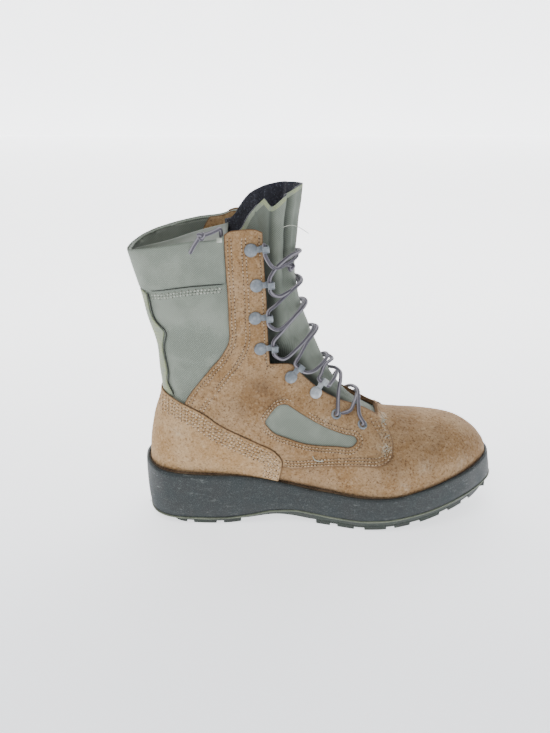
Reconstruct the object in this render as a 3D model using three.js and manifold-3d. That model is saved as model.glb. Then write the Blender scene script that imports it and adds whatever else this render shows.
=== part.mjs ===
// A right-foot combat boot, standing empty on its sole: a tall lace-up boot with a plain toe, suede quarters over
// nylon, a folded tongue and a moulded rubber sole. Millimetres, +Z up, toe along +X, outer side of the foot at -Y.
// Heights start at the floor and lengths at the back of the heel; the finished group is moved so that its origin is
// the middle of its footprint.
import * as THREE from "three";
import { mergeVertices } from "three/addons/utils/BufferGeometryUtils.js";
import Module from "manifold-3d";

const wasm = await Module();
wasm.setup();

// Driving sizes of the sole.
const SOLE_LENGTH = 315;
const BALL_WIDTH = 106;
const HEEL_HEIGHT = 36; // floor to the deck that carries the heel
const BALL_HEIGHT = 20.5; // floor to the deck under the ball
const OUTSOLE_THICKNESS = 9.5;
const LIP_HEIGHT = 18; // how far the rubber wall stands above the deck at the back of the heel
const TOE_SPRING = 18.5;
const LIP_THICKNESS = 3.2;
const TOE_LEAN = 3; // how far the rubber wall leans back at the tip of the toe
const ARCH_LIFT = 7.5;
const HEEL_BEVEL = 18; // how far the tread starts ahead of the back of the heel
const LUG_DEPTH = 4;
const LUG_REACH = 24; // how far a side lug runs in from the edge
const LUG_GROOVE = 5; // between the side lugs and the centre lugs
const TREAD_INSET = 2.2; // how far the tread stands in from the rubber wall
const TREAD_EMBED = 0.4; // how far the lugs run up into the base that carries them
const BASE_TAPER = 0.7; // how much of the tread's bevel and lean the base above it keeps
const WELT_INSET = 0.4; // how far the base's upper edge stands in from the rubber wall
const HEEL_ROUND = 3; // how far the foot of the rubber wall starts ahead of its belly at the heel
const BELLY = { out: 0.8, up: 5 }; // the swell of the rubber wall and its height above the wall's foot

// Driving sizes of the upper.
const INSTEP_HEIGHT = 96; // floor to the foot of the throat
const COLLAR_HEIGHT = 266; // floor to the front of the collar
const COLLAR_BACK = 240; // floor to the back of the collar
const SHAFT_WIDTH = 67;
const WALL = 2.4;
const OVERLAY = 1.5; // leather laid over the base of the upper
const FLANGE = 12; // upper turned in under the foot
const INSOLE = 3.5;
const COUNTER_THICKNESS = 2.3;
const CUFF_THICKNESS = 1;
const TONGUE = 2.2;
const TONGUE_FOLD = 5; // depth of the folds beside the tongue's middle
const TONGUE_TUCK = 26; // degrees that its sides run on behind the throat's edges
const GAP = 0.3; // between curved pieces that touch

// Driving sizes of the lacing.
const LACE = 3; // diameter
const HOOK_DISC = 10.8; // diameter
const HOOK_WIDTH = 5.4;
const HOOK_REACH = 10.2; // rivet to the lace's channel
const HOOK_METAL = 1.1;
const DISC_HEIGHT = 1.65;
const EYELET_RIM = 9.2; // outer diameter
const EYELET_HOLE = 4.4; // inner diameter
const LACE_CLEARANCE = 0.8;
const LACE_RUN = 3.7; // how far the lace runs straight on from the side of a hook
const LACE_STAND = 4.2; // from the outside of the upper to the middle of the lace, over the tongue
const LACE_TURN = 5.1; // from the surface to the middle of the lace where it turns over an eyelet
const HOOK_SEAT = 0.7; // over the curved leather
const BARREL = 0.6; // wall of an eyelet's barrel
const BARREL_ROOM = 1.2; // between the barrel's bore and the hole in the leather
const ROUND = 10; // sides of a small round piece

// The sole's outline: distance of its outer and inner edge from the straight axis, as shares of the ball width.
const SOLE_OUTLINE = [
  { at: 0.016, outer: 0.198, inner: 0.189 },
  { at: 0.06, outer: 0.323, inner: 0.311 },
  { at: 0.16, outer: 0.373, inner: 0.354 },
  { at: 0.285, outer: 0.364, inner: 0.325 },
  { at: 0.395, outer: 0.349, inner: 0.288 },
  { at: 0.5, outer: 0.396, inner: 0.335 },
  { at: 0.6, outer: 0.475, inner: 0.431 },
  { at: 0.68, outer: 0.508, inner: 0.488 },
  { at: 0.74, outer: 0.488, inner: 0.513 },
  { at: 0.793, outer: 0.45, inner: 0.519 },
  { at: 0.86, outer: 0.361, inner: 0.503 },
  { at: 0.923, outer: 0.235, inner: 0.46 },
  { at: 0.964, outer: 0.11, inner: 0.378 },
  { at: 0.99, outer: -0.005, inner: 0.27 },
];
const TOE_SWING = 0.125; // the tip stands this share of the ball width towards the inner side
const OUTLINE_STEPS = 2; // points for each row of the outline

// The sole from the side. arch and spring are shares of the arch lift and toe spring under it, heel of the step
// from ball to heel, and tread, welt and lip are shares of the lug depth, outsole thickness and lip height.
const SOLE_SIDE = [
  { at: 0, arch: 0, spring: 0, heel: 1, tread: 1, welt: 1, lip: 0.98 },
  { at: 0.04, arch: 0, spring: 0, heel: 1, tread: 1, welt: 0.74, lip: 0.88 },
  { at: 0.1, arch: 0, spring: 0, heel: 1, tread: 1, welt: 0.64, lip: 0.78 },
  { at: 0.225, arch: 0, spring: 0, heel: 0.99, tread: 1, welt: 0.64, lip: 0.72 },
  { at: 0.29, arch: 0.25, spring: 0, heel: 0.92, tread: 0.8, welt: 0.66, lip: 0.68 },
  { at: 0.37, arch: 1, spring: 0, heel: 0.76, tread: 0, welt: 0.48, lip: 0.54 },
  { at: 0.42, arch: 0.8, spring: 0, heel: 0.62, tread: 0.1, welt: 0.72, lip: 0.44 },
  { at: 0.475, arch: 0.1, spring: 0, heel: 0.46, tread: 0.9, welt: 1.1, lip: 0.4 },
  { at: 0.53, arch: 0, spring: 0, heel: 0.3, tread: 1, welt: 1, lip: 0.46 },
  { at: 0.6, arch: 0, spring: 0, heel: 0.14, tread: 1, welt: 1, lip: 0.54 },
  { at: 0.645, arch: 0, spring: 0.07, heel: 0.07, tread: 1, welt: 1, lip: 0.57 },
  { at: 0.715, arch: 0, spring: 0.23, heel: 0, tread: 1, welt: 1, lip: 0.58 },
  { at: 0.785, arch: 0, spring: 0.43, heel: 0, tread: 1, welt: 1, lip: 0.66 },
  { at: 0.86, arch: 0, spring: 0.665, heel: 0, tread: 1, welt: 0.98, lip: 0.7 },
  { at: 0.922, arch: 0, spring: 0.85, heel: 0, tread: 1, welt: 1, lip: 0.68 },
  { at: 1, arch: 0, spring: 1, heel: 0, tread: 1, welt: 0.92, lip: 0.7 },
];

// Where each row of lugs starts and ends, as shares of the sole length.
const LUGS = [
  { from: 0.035, to: 0.12 },
  { from: 0.139, to: 0.204 },
  { from: 0.224, to: 0.273 },
  { from: 0.485, to: 0.524 },
  { from: 0.544, to: 0.59 },
  { from: 0.618, to: 0.678 },
  { from: 0.7, to: 0.744 },
  { from: 0.772, to: 0.83 },
  { from: 0.855, to: 0.898 },
  { from: 0.922, to: 1.0 },
];

// Sections of the foot and shaft, from the toe to above the collar, fanning from upright to level. top and bottom
// are places along the sole length. rise is 0 on the deck, 1 at the instep and 2 at the front of the collar; back
// is 0 on the heel deck and 1 at the back of the collar. centre, half and ridge are shares of the width: the middle
// of the section, half its width and how far its top stands to the inner side. waist is where down the section it
// is widest, crown and base are how square its two ends are, and slack how much squarer its inner back corner is.
const SECTIONS = [
  [0.978, 0.24, 0.977, 0, 0.132, 0.092, 0, 0.55, 2, 2.3, 0],
  [0.967, 0.325, 0.966, 0, 0.137, 0.155, 0, 0.6, 2.2, 2.8, 0],
  [0.951, 0.405, 0.95, 0, 0.134, 0.222, 0, 0.63, 2.3, 3.2, 0],
  [0.924, 0.494, 0.924, 0, 0.12, 0.294, 0.015, 0.66, 2.4, 3.4, 0],
  [0.889, 0.58, 0.889, 0, 0.092, 0.358, 0.035, 0.68, 2.5, 3.7, 0],
  [0.841, 0.668, 0.841, 0, 0.059, 0.415, 0.06, 0.7, 2.4, 4, 0],
  [0.784, 0.751, 0.784, 0, 0.03, 0.455, 0.08, 0.72, 2.3, 4, 0],
  [0.727, 0.83, 0.727, 0, 0.009, 0.471, 0.085, 0.72, 2.1, 4, 0],
  [0.671, 0.912, 0.665, 0, -0.008, 0.466, 0.08, 0.72, 2, 4, 0],
  [0.62, 1.035, 0.58, 0, -0.014, 0.428, 0.06, 0.7, 1.9, 3.8, 0],
  [0.57, 1.115, 0.475, 0, -0.02, 0.385, 0.04, 0.66, 1.9, 3.6, 0],
  [0.53, 1.21, 0.332, 0, -0.01, 0.4, 0.02, 0.62, 1.9, 3.4, 0],
  [0.503, 1.31, 0.19, 0, -0.01, 0.43, 0.01, 0.6, 1.9, 3.2, 0],
  [0.483, 1.395, 0.08, 0, -0.005, 0.47, 0, 0.58, 2, 3, 0],
  [0.467, 1.45, 0.03, 0.04, 0, 0.5, 0, 0.57, 2.1, 2.8, 0],
  [0.454, 1.5, 0.024, 0.14, 0, 0.51, 0, 0.55, 2.1, 2.6, 0],
  [0.443, 1.553, 0.038, 0.275, 0, 0.505, 0, 0.53, 2.2, 2.4, 0],
  [0.433, 1.612, 0.06, 0.387, 0, 0.5, 0, 0.51, 2.2, 2.3, 0],
  [0.426, 1.682, 0.057, 0.495, 0, 0.495, 0, 0.5, 2.2, 2.2, 0],
  [0.421, 1.765, 0.052, 0.608, 0, 0.495, 0, 0.5, 2.2, 2.2, 0.1],
  [0.421, 1.847, 0.03, 0.73, 0.01, 0.5, 0, 0.5, 2.2, 2.2, 0.3],
  [0.424, 1.935, 0.016, 0.828, 0.02, 0.51, 0, 0.5, 2.2, 2.1, 0.9],
  [0.427, 2, -0.014, 1, 0.03, 0.52, 0, 0.5, 2.2, 2, 1.8],
  [0.433, 2.082, -0.025, 1.078, 0.03, 0.52, 0, 0.5, 2.2, 2, 1.8],
  [0.437, 2.165, -0.035, 1.157, 0.03, 0.52, 0, 0.5, 2.2, 2, 1.8],
].map(([top, rise, bottom, back, centre, half, ridge, waist, crown, base, slack]) => (
  { top, rise, bottom, back, centre, half, ridge, waist, crown, base, slack }));
const TOE_POINT = { at: 0.9825, rise: 0.11, centre: 0.125 }; // the foremost point of the upper
const RING_POINTS = 24;

// Edges seen from the side: at is a share of the sole length, and up is 0 on the floor, 1 at the instep and 2 at
// the front of the collar. The throat runs from the collar down to the vamp.
const THROAT = [
  { at: 0.337, up: 2.6 },
  { at: 0.337, up: 1.95 },
  { at: 0.346, up: 1.64 },
  { at: 0.351, up: 1.42 },
  { at: 0.355, up: 1.32 },
  { at: 0.413, up: 1.307 },
  { at: 0.442, up: 1.247 },
  { at: 0.5, up: 1.147 },
  { at: 0.54, up: 1.099 },
  { at: 0.59, up: 1.051 },
  { at: 0.653, up: 0.965 },
  { at: 0.664, up: 1.05 },
  { at: 0.8, up: 2.6 },
];
const COUNTER = [
  { at: -0.05, up: 1.142 },
  { at: 0.066, up: 1.138 },
  { at: 0.09, up: 1.13 },
  { at: 0.126, up: 1.109 },
  { at: 0.168, up: 1.075 },
  { at: 0.222, up: 1.005 },
  { at: 0.314, up: 0.847 },
  { at: 0.37, up: 0.745 },
  { at: 0.389, up: 0.655 },
  { at: 0.387, up: 0.57 },
  { at: 0.37, up: 0.3 },
  { at: -0.05, up: 0.3 },
];
const QUARTER = [
  { at: 0.243, up: 2.4 },
  { at: 0.244, up: 1.88 },
  { at: 0.25, up: 1.55 },
  { at: 0.248, up: 1.436 },
  { at: 0.233, up: 1.382 },
  { at: 0.195, up: 1.292 },
  { at: 0.128, up: 1.112 },
  { at: 0.1, up: 0.9 },
  { at: 0.38, up: 0.6 },
  { at: 0.405, up: 0.587 },
  { at: 0.497, up: 0.608 },
  { at: 0.587, up: 0.636 },
  { at: 0.665, up: 0.652 },
  { at: 0.684, up: 0.688 },
  { at: 0.691, up: 0.752 },
  { at: 0.69, up: 0.825 },
  { at: 0.683, up: 0.87 },
  { at: 0.666, up: 0.95 },
  { at: 0.664, up: 2.4 },
];
const VENT = [
  { at: 0.34, up: 1.018 },
  { at: 0.363, up: 1.075 },
  { at: 0.382, up: 1.107 },
  { at: 0.399, up: 1.107 },
  { at: 0.417, up: 1.084 },
  { at: 0.462, up: 1.026 },
  { at: 0.514, up: 0.949 },
  { at: 0.561, up: 0.89 },
  { at: 0.585, up: 0.869 },
  { at: 0.593, up: 0.84 },
  { at: 0.582, up: 0.802 },
  { at: 0.535, up: 0.8 },
  { at: 0.483, up: 0.811 },
  { at: 0.444, up: 0.834 },
  { at: 0.405, up: 0.88 },
  { at: 0.366, up: 0.935 },
];
const BACK_STAY = [
  { at: -0.05, up: 1.66 },
  { at: 0.035, up: 1.66 },
  { at: 0.052, up: 1.52 },
  { at: 0.08, up: 1.47 },
  { at: 0.071, up: 1.38 },
  { at: 0.08, up: 1.25 },
  { at: 0.078, up: 1.16 },
  { at: 0.09, up: 1.1 },
  { at: -0.05, up: 1.1 },
];
const CUFF = [
  { at: -0.1, up: 1.66 },
  { at: 0.046, up: 1.672 },
  { at: 0.142, up: 1.712 },
  { at: 0.2405, up: 1.733 },
  { at: 0.2405, up: 2.5 },
  { at: -0.1, up: 2.5 },
];
// The seam under the quarters and counter where the shaft is joined to the foot of the upper.
const SHAFT_SEAM = [
  { at: -0.1, up: 0.55 },
  { at: 0.28, up: 0.55 },
  { at: 0.36, up: 0.66 },
  { at: 0.45, up: 0.71 },
  { at: 0.59, up: 0.73 },
  { at: 0.635, up: 0.8 },
  { at: 0.65, up: 0.95 },
  { at: 0.66, up: 1.1 },
  { at: 0.8, up: 3 },
  { at: -0.1, up: 3 },
];
const SEAM_GAP = 0.004; // between the two, as a share like up
// The top edges of the collar and of the tongue on their outer and inner sides, as heights like up.
const COLLAR = [
  { at: -0.1, outer: 1.81, inner: 1.81 },
  { at: -0.014, outer: 1.85, inner: 1.85 },
  { at: 0.012, outer: 1.865, inner: 1.876 },
  { at: 0.082, outer: 1.896, inner: 1.922 },
  { at: 0.159, outer: 1.926, inner: 1.956 },
  { at: 0.24, outer: 1.95, inner: 1.982 },
  { at: 0.251, outer: 1.966, inner: 1.992 },
  { at: 0.283, outer: 1.976, inner: 2 },
  { at: 0.32, outer: 1.974, inner: 1.996 },
  { at: 0.345, outer: 1.95, inner: 1.97 },
];
const TONGUE_TOP = [
  { at: 0.15, outer: 1.9, inner: 1.93 },
  { at: 0.256, outer: 1.94, inner: 1.97 },
  { at: 0.283, outer: 1.965, inner: 2.05 },
  { at: 0.3, outer: 2.02, inner: 2.09 },
  { at: 0.342, outer: 2.105, inner: 2.135 },
  { at: 0.361, outer: 2.06, inner: 2.145 },
  { at: 0.41, outer: 2.135, inner: 2.155 },
  { at: 0.6, outer: 2.165, inner: 2.165 },
];

// The tongue from its middle to one side: across is 0 in the middle and 1 at the throat's edge, stand is 0 inside
// the upper's wall and 1 flush with its outside, fold is a share of the depth of the folds.
const TONGUE_ROWS = { from: 7, to: 24 };
// It comes up out of the upper as the throat opens between two half angles, and is wider below it, in degrees.
const TONGUE_RISE = { from: 18, to: 50, spread: 4.8 };
const TONGUE_SHAPE = [
  { across: 0, stand: 1, fold: 0 },
  { across: 0.42, stand: 0.8, fold: 1 },
  { across: 0.62, stand: 0.72, fold: 0 },
  { across: 0.82, stand: 0.3, fold: 0.1 },
  { across: 1, stand: 0, fold: 0 },
];

// Hooks and eyelets of one side from the top down. turn is how far a hook's arm points up from level, in degrees.
const HOOKS = [
  { at: 0.309, up: 1.888, turn: 6 },
  { at: 0.322, up: 1.719, turn: 3 },
  { at: 0.318, up: 1.561, turn: 2 },
  { at: 0.331, up: 1.405, turn: 4 },
  { at: 0.411, up: 1.246, turn: 48 },
  { at: 0.478, up: 1.154, turn: 52 },
];
const EYELETS = [
  { at: 0.535, up: 1.039 },
  { at: 0.608, up: 0.957 },
];

const KNOT = { at: 0.4095, up: 1.7765, across: -0.1132, radius: 3.6 }; // the knot in front of the tongue
const TAIL_KNOT = 3.3; // radius of the knot in the lace's free end
// The lace's free end over the collar's edge. stand is how far its middle is from the outside of the upper.
const LACE_TAIL = [
  { at: 0.235, up: 1.885, stand: -4.6 },
  { at: 0.234, up: 1.94, stand: -5 },
  { at: 0.231, up: 1.985, stand: -1.6 },
  { at: 0.226, up: 1.962, stand: 2.8 },
  { at: 0.205, up: 1.938, stand: 4.2 },
  { at: 0.172, up: 1.925, stand: 5.4, knot: true },
  { at: 0.152, up: 1.9, stand: 4.4 },
  { at: 0.136, up: 1.845, stand: 4 },
];

// A curve through one column of a table, without overshoot between its rows.
function curve(rows, column) {
  const slope = (i) => (rows[i + 1][column] - rows[i][column]) / (rows[i + 1].at - rows[i].at);
  const tangent = (i) => {
    if (i === 0) return slope(0);
    if (i === rows.length - 1) return slope(i - 1);
    const [a, b] = [slope(i - 1), slope(i)];
    return a * b <= 0 ? 0 : (2 * a * b) / (a + b);
  };
  return (at) => {
    const place = THREE.MathUtils.clamp(at, rows[0].at, rows.at(-1).at);
    let i = 0;
    while (i < rows.length - 2 && rows[i + 1].at < place) i++;
    const width = rows[i + 1].at - rows[i].at;
    const t = (place - rows[i].at) / width;
    const blend = t * t * (3 - 2 * t);
    const bow = t * (1 - t) * width;
    return rows[i][column] * (1 - blend) + rows[i + 1][column] * blend
      + bow * ((1 - t) * tangent(i) - t * tangent(i + 1));
  };
}

// Heights of the sole above the floor, at a distance from the back of the heel.
const side = {};
for (const column of ["arch", "spring", "heel", "tread", "welt", "lip"]) {
  const share = curve(SOLE_SIDE, column);
  side[column] = (x) => share(x / SOLE_LENGTH);
}
const treadZ = (x) => ARCH_LIFT * side.arch(x) + TOE_SPRING * side.spring(x);
const baseZ = (x) => treadZ(x) + LUG_DEPTH * side.tread(x);
const weltZ = (x) => treadZ(x) + OUTSOLE_THICKNESS * side.welt(x);
const deckZ = (x) => BALL_HEIGHT + (HEEL_HEIGHT - BALL_HEIGHT) * side.heel(x) + TOE_SPRING * side.spring(x);
const rimZ = (x) => deckZ(x) + LIP_HEIGHT * side.lip(x);

// The height of a point that is seen from the side.
const sideZ = (up) => (up <= 1 ? up * INSTEP_HEIGHT : INSTEP_HEIGHT + (up - 1) * (COLLAR_HEIGHT - INSTEP_HEIGHT));

// The sole's outline, set in by a distance, from the back of the heel along the outer side and back along the inner.
function soleOutline({ inset, bevel = 0, lean = 0 }) {
  const knots = [new THREE.Vector3(0, 0, 0)];
  for (const row of SOLE_OUTLINE) knots.push(new THREE.Vector3(row.at * SOLE_LENGTH, -row.outer * BALL_WIDTH, 0));
  knots.push(new THREE.Vector3(SOLE_LENGTH, TOE_SWING * BALL_WIDTH, 0));
  for (const row of SOLE_OUTLINE.toReversed()) {
    knots.push(new THREE.Vector3(row.at * SOLE_LENGTH, row.inner * BALL_WIDTH, 0));
  }
  const loop = new THREE.CatmullRomCurve3(knots, true, "centripetal");
  const count = knots.length * OUTLINE_STEPS;
  const points = [];
  for (let i = 0; i < count; i++) {
    const along = loop.getTangent(i / count);
    const point = loop.getPoint(i / count).add(new THREE.Vector3(-along.y, along.x, 0).multiplyScalar(inset));
    point.x += bevel * Math.max(0, 1 - point.x / (4 * bevel + 1)) ** 2;
    point.x -= lean * Math.max(0, (8 * point.x) / SOLE_LENGTH - 7) ** 2;
    points.push(point);
  }
  return points;
}

// A closed solid from a triangle list.
function solid(positions, index) {
  const geometry = new THREE.BufferGeometry();
  geometry.setAttribute("position", new THREE.Float32BufferAttribute(positions, 3));
  geometry.setIndex(index);
  return toManifold(geometry);
}

function toManifold(geometry) {
  const plain = geometry.clone();
  for (const name of Object.keys(plain.attributes)) if (name !== "position") plain.deleteAttribute(name);
  const merged = mergeVertices(plain, 1e-4);
  const vertProperties = new Float32Array(merged.attributes.position.array);
  const triVerts = new Uint32Array(merged.index.array);
  return new wasm.Manifold(new wasm.Mesh({ numProp: 3, vertProperties, triVerts }));
}

function toGeometry(manifold) {
  const mesh = manifold.getMesh();
  const geometry = new THREE.BufferGeometry();
  geometry.setAttribute("position", new THREE.BufferAttribute(mesh.vertProperties, 3));
  geometry.setIndex(new THREE.BufferAttribute(mesh.triVerts, 1));
  const flat = geometry.toNonIndexed();
  flat.computeVertexNormals();
  return flat;
}

// A solid between two or more outlines of the sole, each {inset, bevel, lean, height}, lowest first.
function soleLayers(levels) {
  const positions = [];
  const index = [];
  const loops = levels.map(soleOutline);
  const count = loops[0].length;
  levels.forEach((level, i) => loops[i].forEach((p) => positions.push(p.x, p.y, level.height(p.x))));
  for (let level = 0; level < levels.length - 1; level++) {
    for (let i = 0; i < count; i++) {
      const [a, b] = [level * count + i, level * count + ((i + 1) % count)];
      index.push(a, b, b + count, a, b + count, a + count);
    }
  }
  const top = (levels.length - 1) * count;
  for (let i = 0; i < count / 2; i++) {
    const [a, b, c, d] = [i, i + 1, count - i - 1, (count - i) % count];
    if (i < count / 2 - 1) {
      index.push(a, c, b);
      index.push(top + a, top + b, top + c);
    }
    if (i > 0) {
      index.push(a, d, c);
      index.push(top + a, top + c, top + d);
    }
  }
  return solid(positions, index);
}

// A point of a section, at an angle from its top towards the outer side.
function sectionPoint(row, angle) {
  const shaft = THREE.MathUtils.clamp(2 * (row.rise - 1), 0, 1);
  const width = THREE.MathUtils.lerp(BALL_WIDTH, SHAFT_WIDTH, shaft);
  const [topX, bottomX] = [row.top * SOLE_LENGTH, row.bottom * SOLE_LENGTH];
  const foot = deckZ(topX) + row.rise * (INSTEP_HEIGHT - BALL_HEIGHT);
  const topZ = row.rise <= 1 ? foot : sideZ(row.rise);
  const bottomZ = deckZ(bottomX) + GAP + row.back * (COLLAR_BACK - HEEL_HEIGHT);
  const [c, s] = [Math.cos(angle), Math.sin(angle)];
  const power = 2 / (c > 0 ? row.crown : row.base + (s < 0 ? row.slack : 0));
  const reach = Math.abs(c) ** power;
  const down = c > 0 ? row.waist * (1 - reach) : row.waist + (1 - row.waist) * reach;
  const across = -Math.sign(s) * Math.abs(s) ** power;
  const lean = row.ridge * Math.max(0, 1 - down / row.waist) ** 1.5;
  return new THREE.Vector3(
    THREE.MathUtils.lerp(topX, bottomX, down),
    width * (row.centre + lean + row.half * across),
    THREE.MathUtils.lerp(topZ, bottomZ, down),
  );
}

function sectionRing(row) {
  return Array.from({ length: RING_POINTS }, (_, k) => sectionPoint(row, (2 * Math.PI * k) / RING_POINTS));
}

// A point of the form at a place between two sections and an angle from their tops, grown outwards.
function formPoint(place, angle, grow = 0) {
  const at = (i, turn) => {
    const low = THREE.MathUtils.clamp(Math.floor(i), 0, SECTIONS.length - 2);
    const point = sectionPoint(SECTIONS[low], turn);
    return point.lerp(sectionPoint(SECTIONS[low + 1], turn), THREE.MathUtils.clamp(i - low, 0, 1));
  };
  const around = at(place, angle + 0.1).sub(at(place, angle - 0.1));
  const along = at(place + 0.6, angle).sub(at(place - 0.6, angle));
  return at(place, angle).addScaledVector(around.cross(along).normalize(), -grow);
}

// The form of the upper, grown outwards by a distance along its surface.
function form(grow) {
  const rings = SECTIONS.map(sectionRing);
  const toeX = TOE_POINT.at * SOLE_LENGTH;
  const toeZ = deckZ(toeX) + TOE_POINT.rise * (INSTEP_HEIGHT - BALL_HEIGHT);
  const toe = new THREE.Vector3(toeX, TOE_POINT.centre * BALL_WIDTH, toeZ);
  const at = (i, k) => (i < 0 ? toe : rings[Math.min(i, rings.length - 1)][(k + RING_POINTS) % RING_POINTS]);
  const positions = [toe.x + grow, toe.y, toe.z];
  const index = [];
  rings.forEach((ring, i) => ring.forEach((point, k) => {
    const around = at(i, k + 1).clone().sub(at(i, k - 1));
    const along = at(i + 1, k).clone().sub(at(i - 1, k));
    const out = around.cross(along).normalize().multiplyScalar(-grow);
    positions.push(point.x + out.x, point.y + out.y, point.z + out.z);
  }));
  const middle = rings.at(-1)[0].clone().add(rings.at(-1)[RING_POINTS / 2]).multiplyScalar(0.5);
  const cap = positions.length / 3;
  positions.push(middle.x, middle.y, middle.z);
  const last = 1 + (rings.length - 1) * RING_POINTS;
  for (let k = 0; k < RING_POINTS; k++) {
    const next = (k + 1) % RING_POINTS;
    index.push(0, 1 + k, 1 + next);
    index.push(cap, last + next, last + k);
    for (let i = 0; i < rings.length - 1; i++) {
      const [a, b] = [1 + i * RING_POINTS + k, 1 + i * RING_POINTS + next];
      index.push(a, b + RING_POINTS, b, a, a + RING_POINTS, b + RING_POINTS);
    }
  }
  return solid(positions, index);
}

const MATERIALS = {
  rubber: new THREE.MeshStandardMaterial({ color: 0x465050, roughness: 0.7, metalness: 0 }),
  tread: new THREE.MeshStandardMaterial({ color: 0x343e37, roughness: 0.75, metalness: 0 }),
  suede: new THREE.MeshStandardMaterial({ color: 0xb0926f, roughness: 0.95, metalness: 0 }),
  nylon: new THREE.MeshStandardMaterial({ color: 0x9ba396, roughness: 0.85, metalness: 0 }),
  metal: new THREE.MeshStandardMaterial({ color: 0x969b9e, roughness: 0.45, metalness: 0.9 }),
  lace: new THREE.MeshStandardMaterial({ color: 0x827f87, roughness: 0.9, metalness: 0 }),
  foam: new THREE.MeshStandardMaterial({ color: 0x282a37, roughness: 0.9, metalness: 0 }),
};

const boot = new THREE.Group();
boot.name = "combat_boot";

function place(name, manifold, material) {
  const mesh = new THREE.Mesh(toGeometry(manifold), material);
  mesh.name = name;
  boot.add(mesh);
  return mesh;
}

function placeCopy(name, geometry, frame, material) {
  const mesh = new THREE.Mesh(geometry, material);
  mesh.name = name;
  frame.decompose(mesh.position, mesh.quaternion, mesh.scale);
  boot.add(mesh);
}

function box(from, to) {
  const size = new THREE.Vector3().subVectors(to, from);
  const geometry = new THREE.BoxGeometry(size.x, size.y, size.z);
  const middle = new THREE.Vector3().addVectors(from, to).multiplyScalar(0.5);
  geometry.translate(middle.x, middle.y, middle.z);
  return toManifold(geometry);
}

// The tread: a base with rows of lugs, each row split by a groove along both edges of the foot.
function makeOutsole() {
  const tread = { inset: TREAD_INSET, bevel: HEEL_BEVEL, lean: TOE_LEAN, height: treadZ };
  const base = { ...tread, height: baseZ, bevel: HEEL_BEVEL * BASE_TAPER, lean: TOE_LEAN * BASE_TAPER };
  const slab = soleLayers([tread, { ...base, height: (x) => baseZ(x) + TREAD_EMBED }]);
  let outsole = soleLayers([base, { inset: WELT_INSET, bevel: HEEL_ROUND, height: weltZ }]);
  const reach = soleLayers([
    { inset: LUG_REACH, height: () => -BALL_WIDTH },
    { inset: LUG_REACH, height: () => BALL_WIDTH },
  ]);
  const middle = soleLayers([
    { inset: LUG_REACH + LUG_GROOVE, height: () => -BALL_WIDTH },
    { inset: LUG_REACH + LUG_GROOVE, height: () => BALL_WIDTH },
  ]);
  const lugs = slab.subtract(reach.subtract(middle));
  for (const lug of LUGS) {
    const from = new THREE.Vector3(lug.from * SOLE_LENGTH, -BALL_WIDTH, -1);
    const to = new THREE.Vector3(lug.to * SOLE_LENGTH + 1, BALL_WIDTH, HEEL_HEIGHT);
    outsole = outsole.add(lugs.intersect(box(from, to)));
  }
  return outsole;
}

// The rubber wall with its deck, hollowed for the upper that stands in it.
function makeMidsole() {
  const block = soleLayers([
    { inset: 0, bevel: HEEL_ROUND, height: (x) => weltZ(x) + GAP },
    { inset: -BELLY.out, height: (x) => weltZ(x) + BELLY.up },
    { inset: 0, lean: TOE_LEAN, height: rimZ },
  ]);
  return block.subtract(form(GAP));
}

// A prism across the boot behind an edge that is seen from the side, between two distances from the axis.
function sidePrism(points, from = -BALL_WIDTH, to = BALL_WIDTH) {
  const outline = points.map((p) => new THREE.Vector2(p.at * SOLE_LENGTH, sideZ(p.up)));
  const geometry = new THREE.ExtrudeGeometry(new THREE.Shape(outline), { depth: to - from, bevelEnabled: false });
  geometry.rotateX(Math.PI / 2);
  geometry.translate(0, to, 0);
  return toManifold(geometry);
}

// Everything above an edge that has its own heights on the outer and the inner side.
function above(edge) {
  const sky = [edge.at(-1), edge[0]].map(({ at }) => ({ at, up: 3 }));
  const points = (side) => [...edge.map((row) => ({ at: row.at, up: row[side] })), ...sky];
  return sidePrism(points("outer"), -BALL_WIDTH, 0).add(sidePrism(points("inner"), 0));
}

const throat = sidePrism(THROAT);
const aboveCollar = above(COLLAR);
const cup = soleLayers([
  { inset: -LUG_REACH, height: () => -BALL_WIDTH },
  { inset: -LUG_REACH, height: (x) => rimZ(x) + GAP },
]);
const ridgeY = SECTIONS[8].ridge * BALL_WIDTH; // where the two quarters meet ahead of the throat

// A layer over the upper's base, trimmed to the collar, the throat and the top of the rubber wall.
function overlay(thickness) {
  return form(GAP + thickness).subtract(form(GAP)).subtract(throat).subtract(aboveCollar).subtract(cup);
}

// One hollow shell, open at the collar, the throat and under the foot.
function makeShell() {
  const opening = soleLayers([
    { inset: LIP_THICKNESS + FLANGE, height: (x) => deckZ(x) - WALL },
    { inset: LIP_THICKNESS + FLANGE, height: (x) => deckZ(x) + 2 * WALL },
  ]);
  const wall = form(0).subtract(form(-WALL)).subtract(opening).subtract(throat).subtract(aboveCollar);
  return drill(wall);
}

function makeInsole() {
  const under = WALL + 2 * GAP;
  const slab = soleLayers([
    { inset: 0, height: (x) => deckZ(x) - WALL },
    { inset: 0, height: (x) => deckZ(x) + under + INSOLE },
  ]);
  return form(-(WALL + GAP)).intersect(slab);
}

// Where a point seen from the side lies on the form grown by a distance, with the direction that it faces.
function onForm(geometry, x, z, inner) {
  const far = inner * 2 * BALL_WIDTH;
  const skin = new THREE.Mesh(geometry);
  const ray = new THREE.Raycaster(new THREE.Vector3(x, far, z), new THREE.Vector3(0, -inner, 0));
  const hit = ray.intersectObject(skin)[0];
  return { point: hit.point, normal: hit.face.normal.clone() };
}

const outerSkin = toGeometry(form(GAP + OVERLAY));
const SIDES = [["lateral", -1], ["medial", 1]];

function seat(row, inner) {
  return onForm(outerSkin, row.at * SOLE_LENGTH, sideZ(row.up), inner);
}

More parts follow.
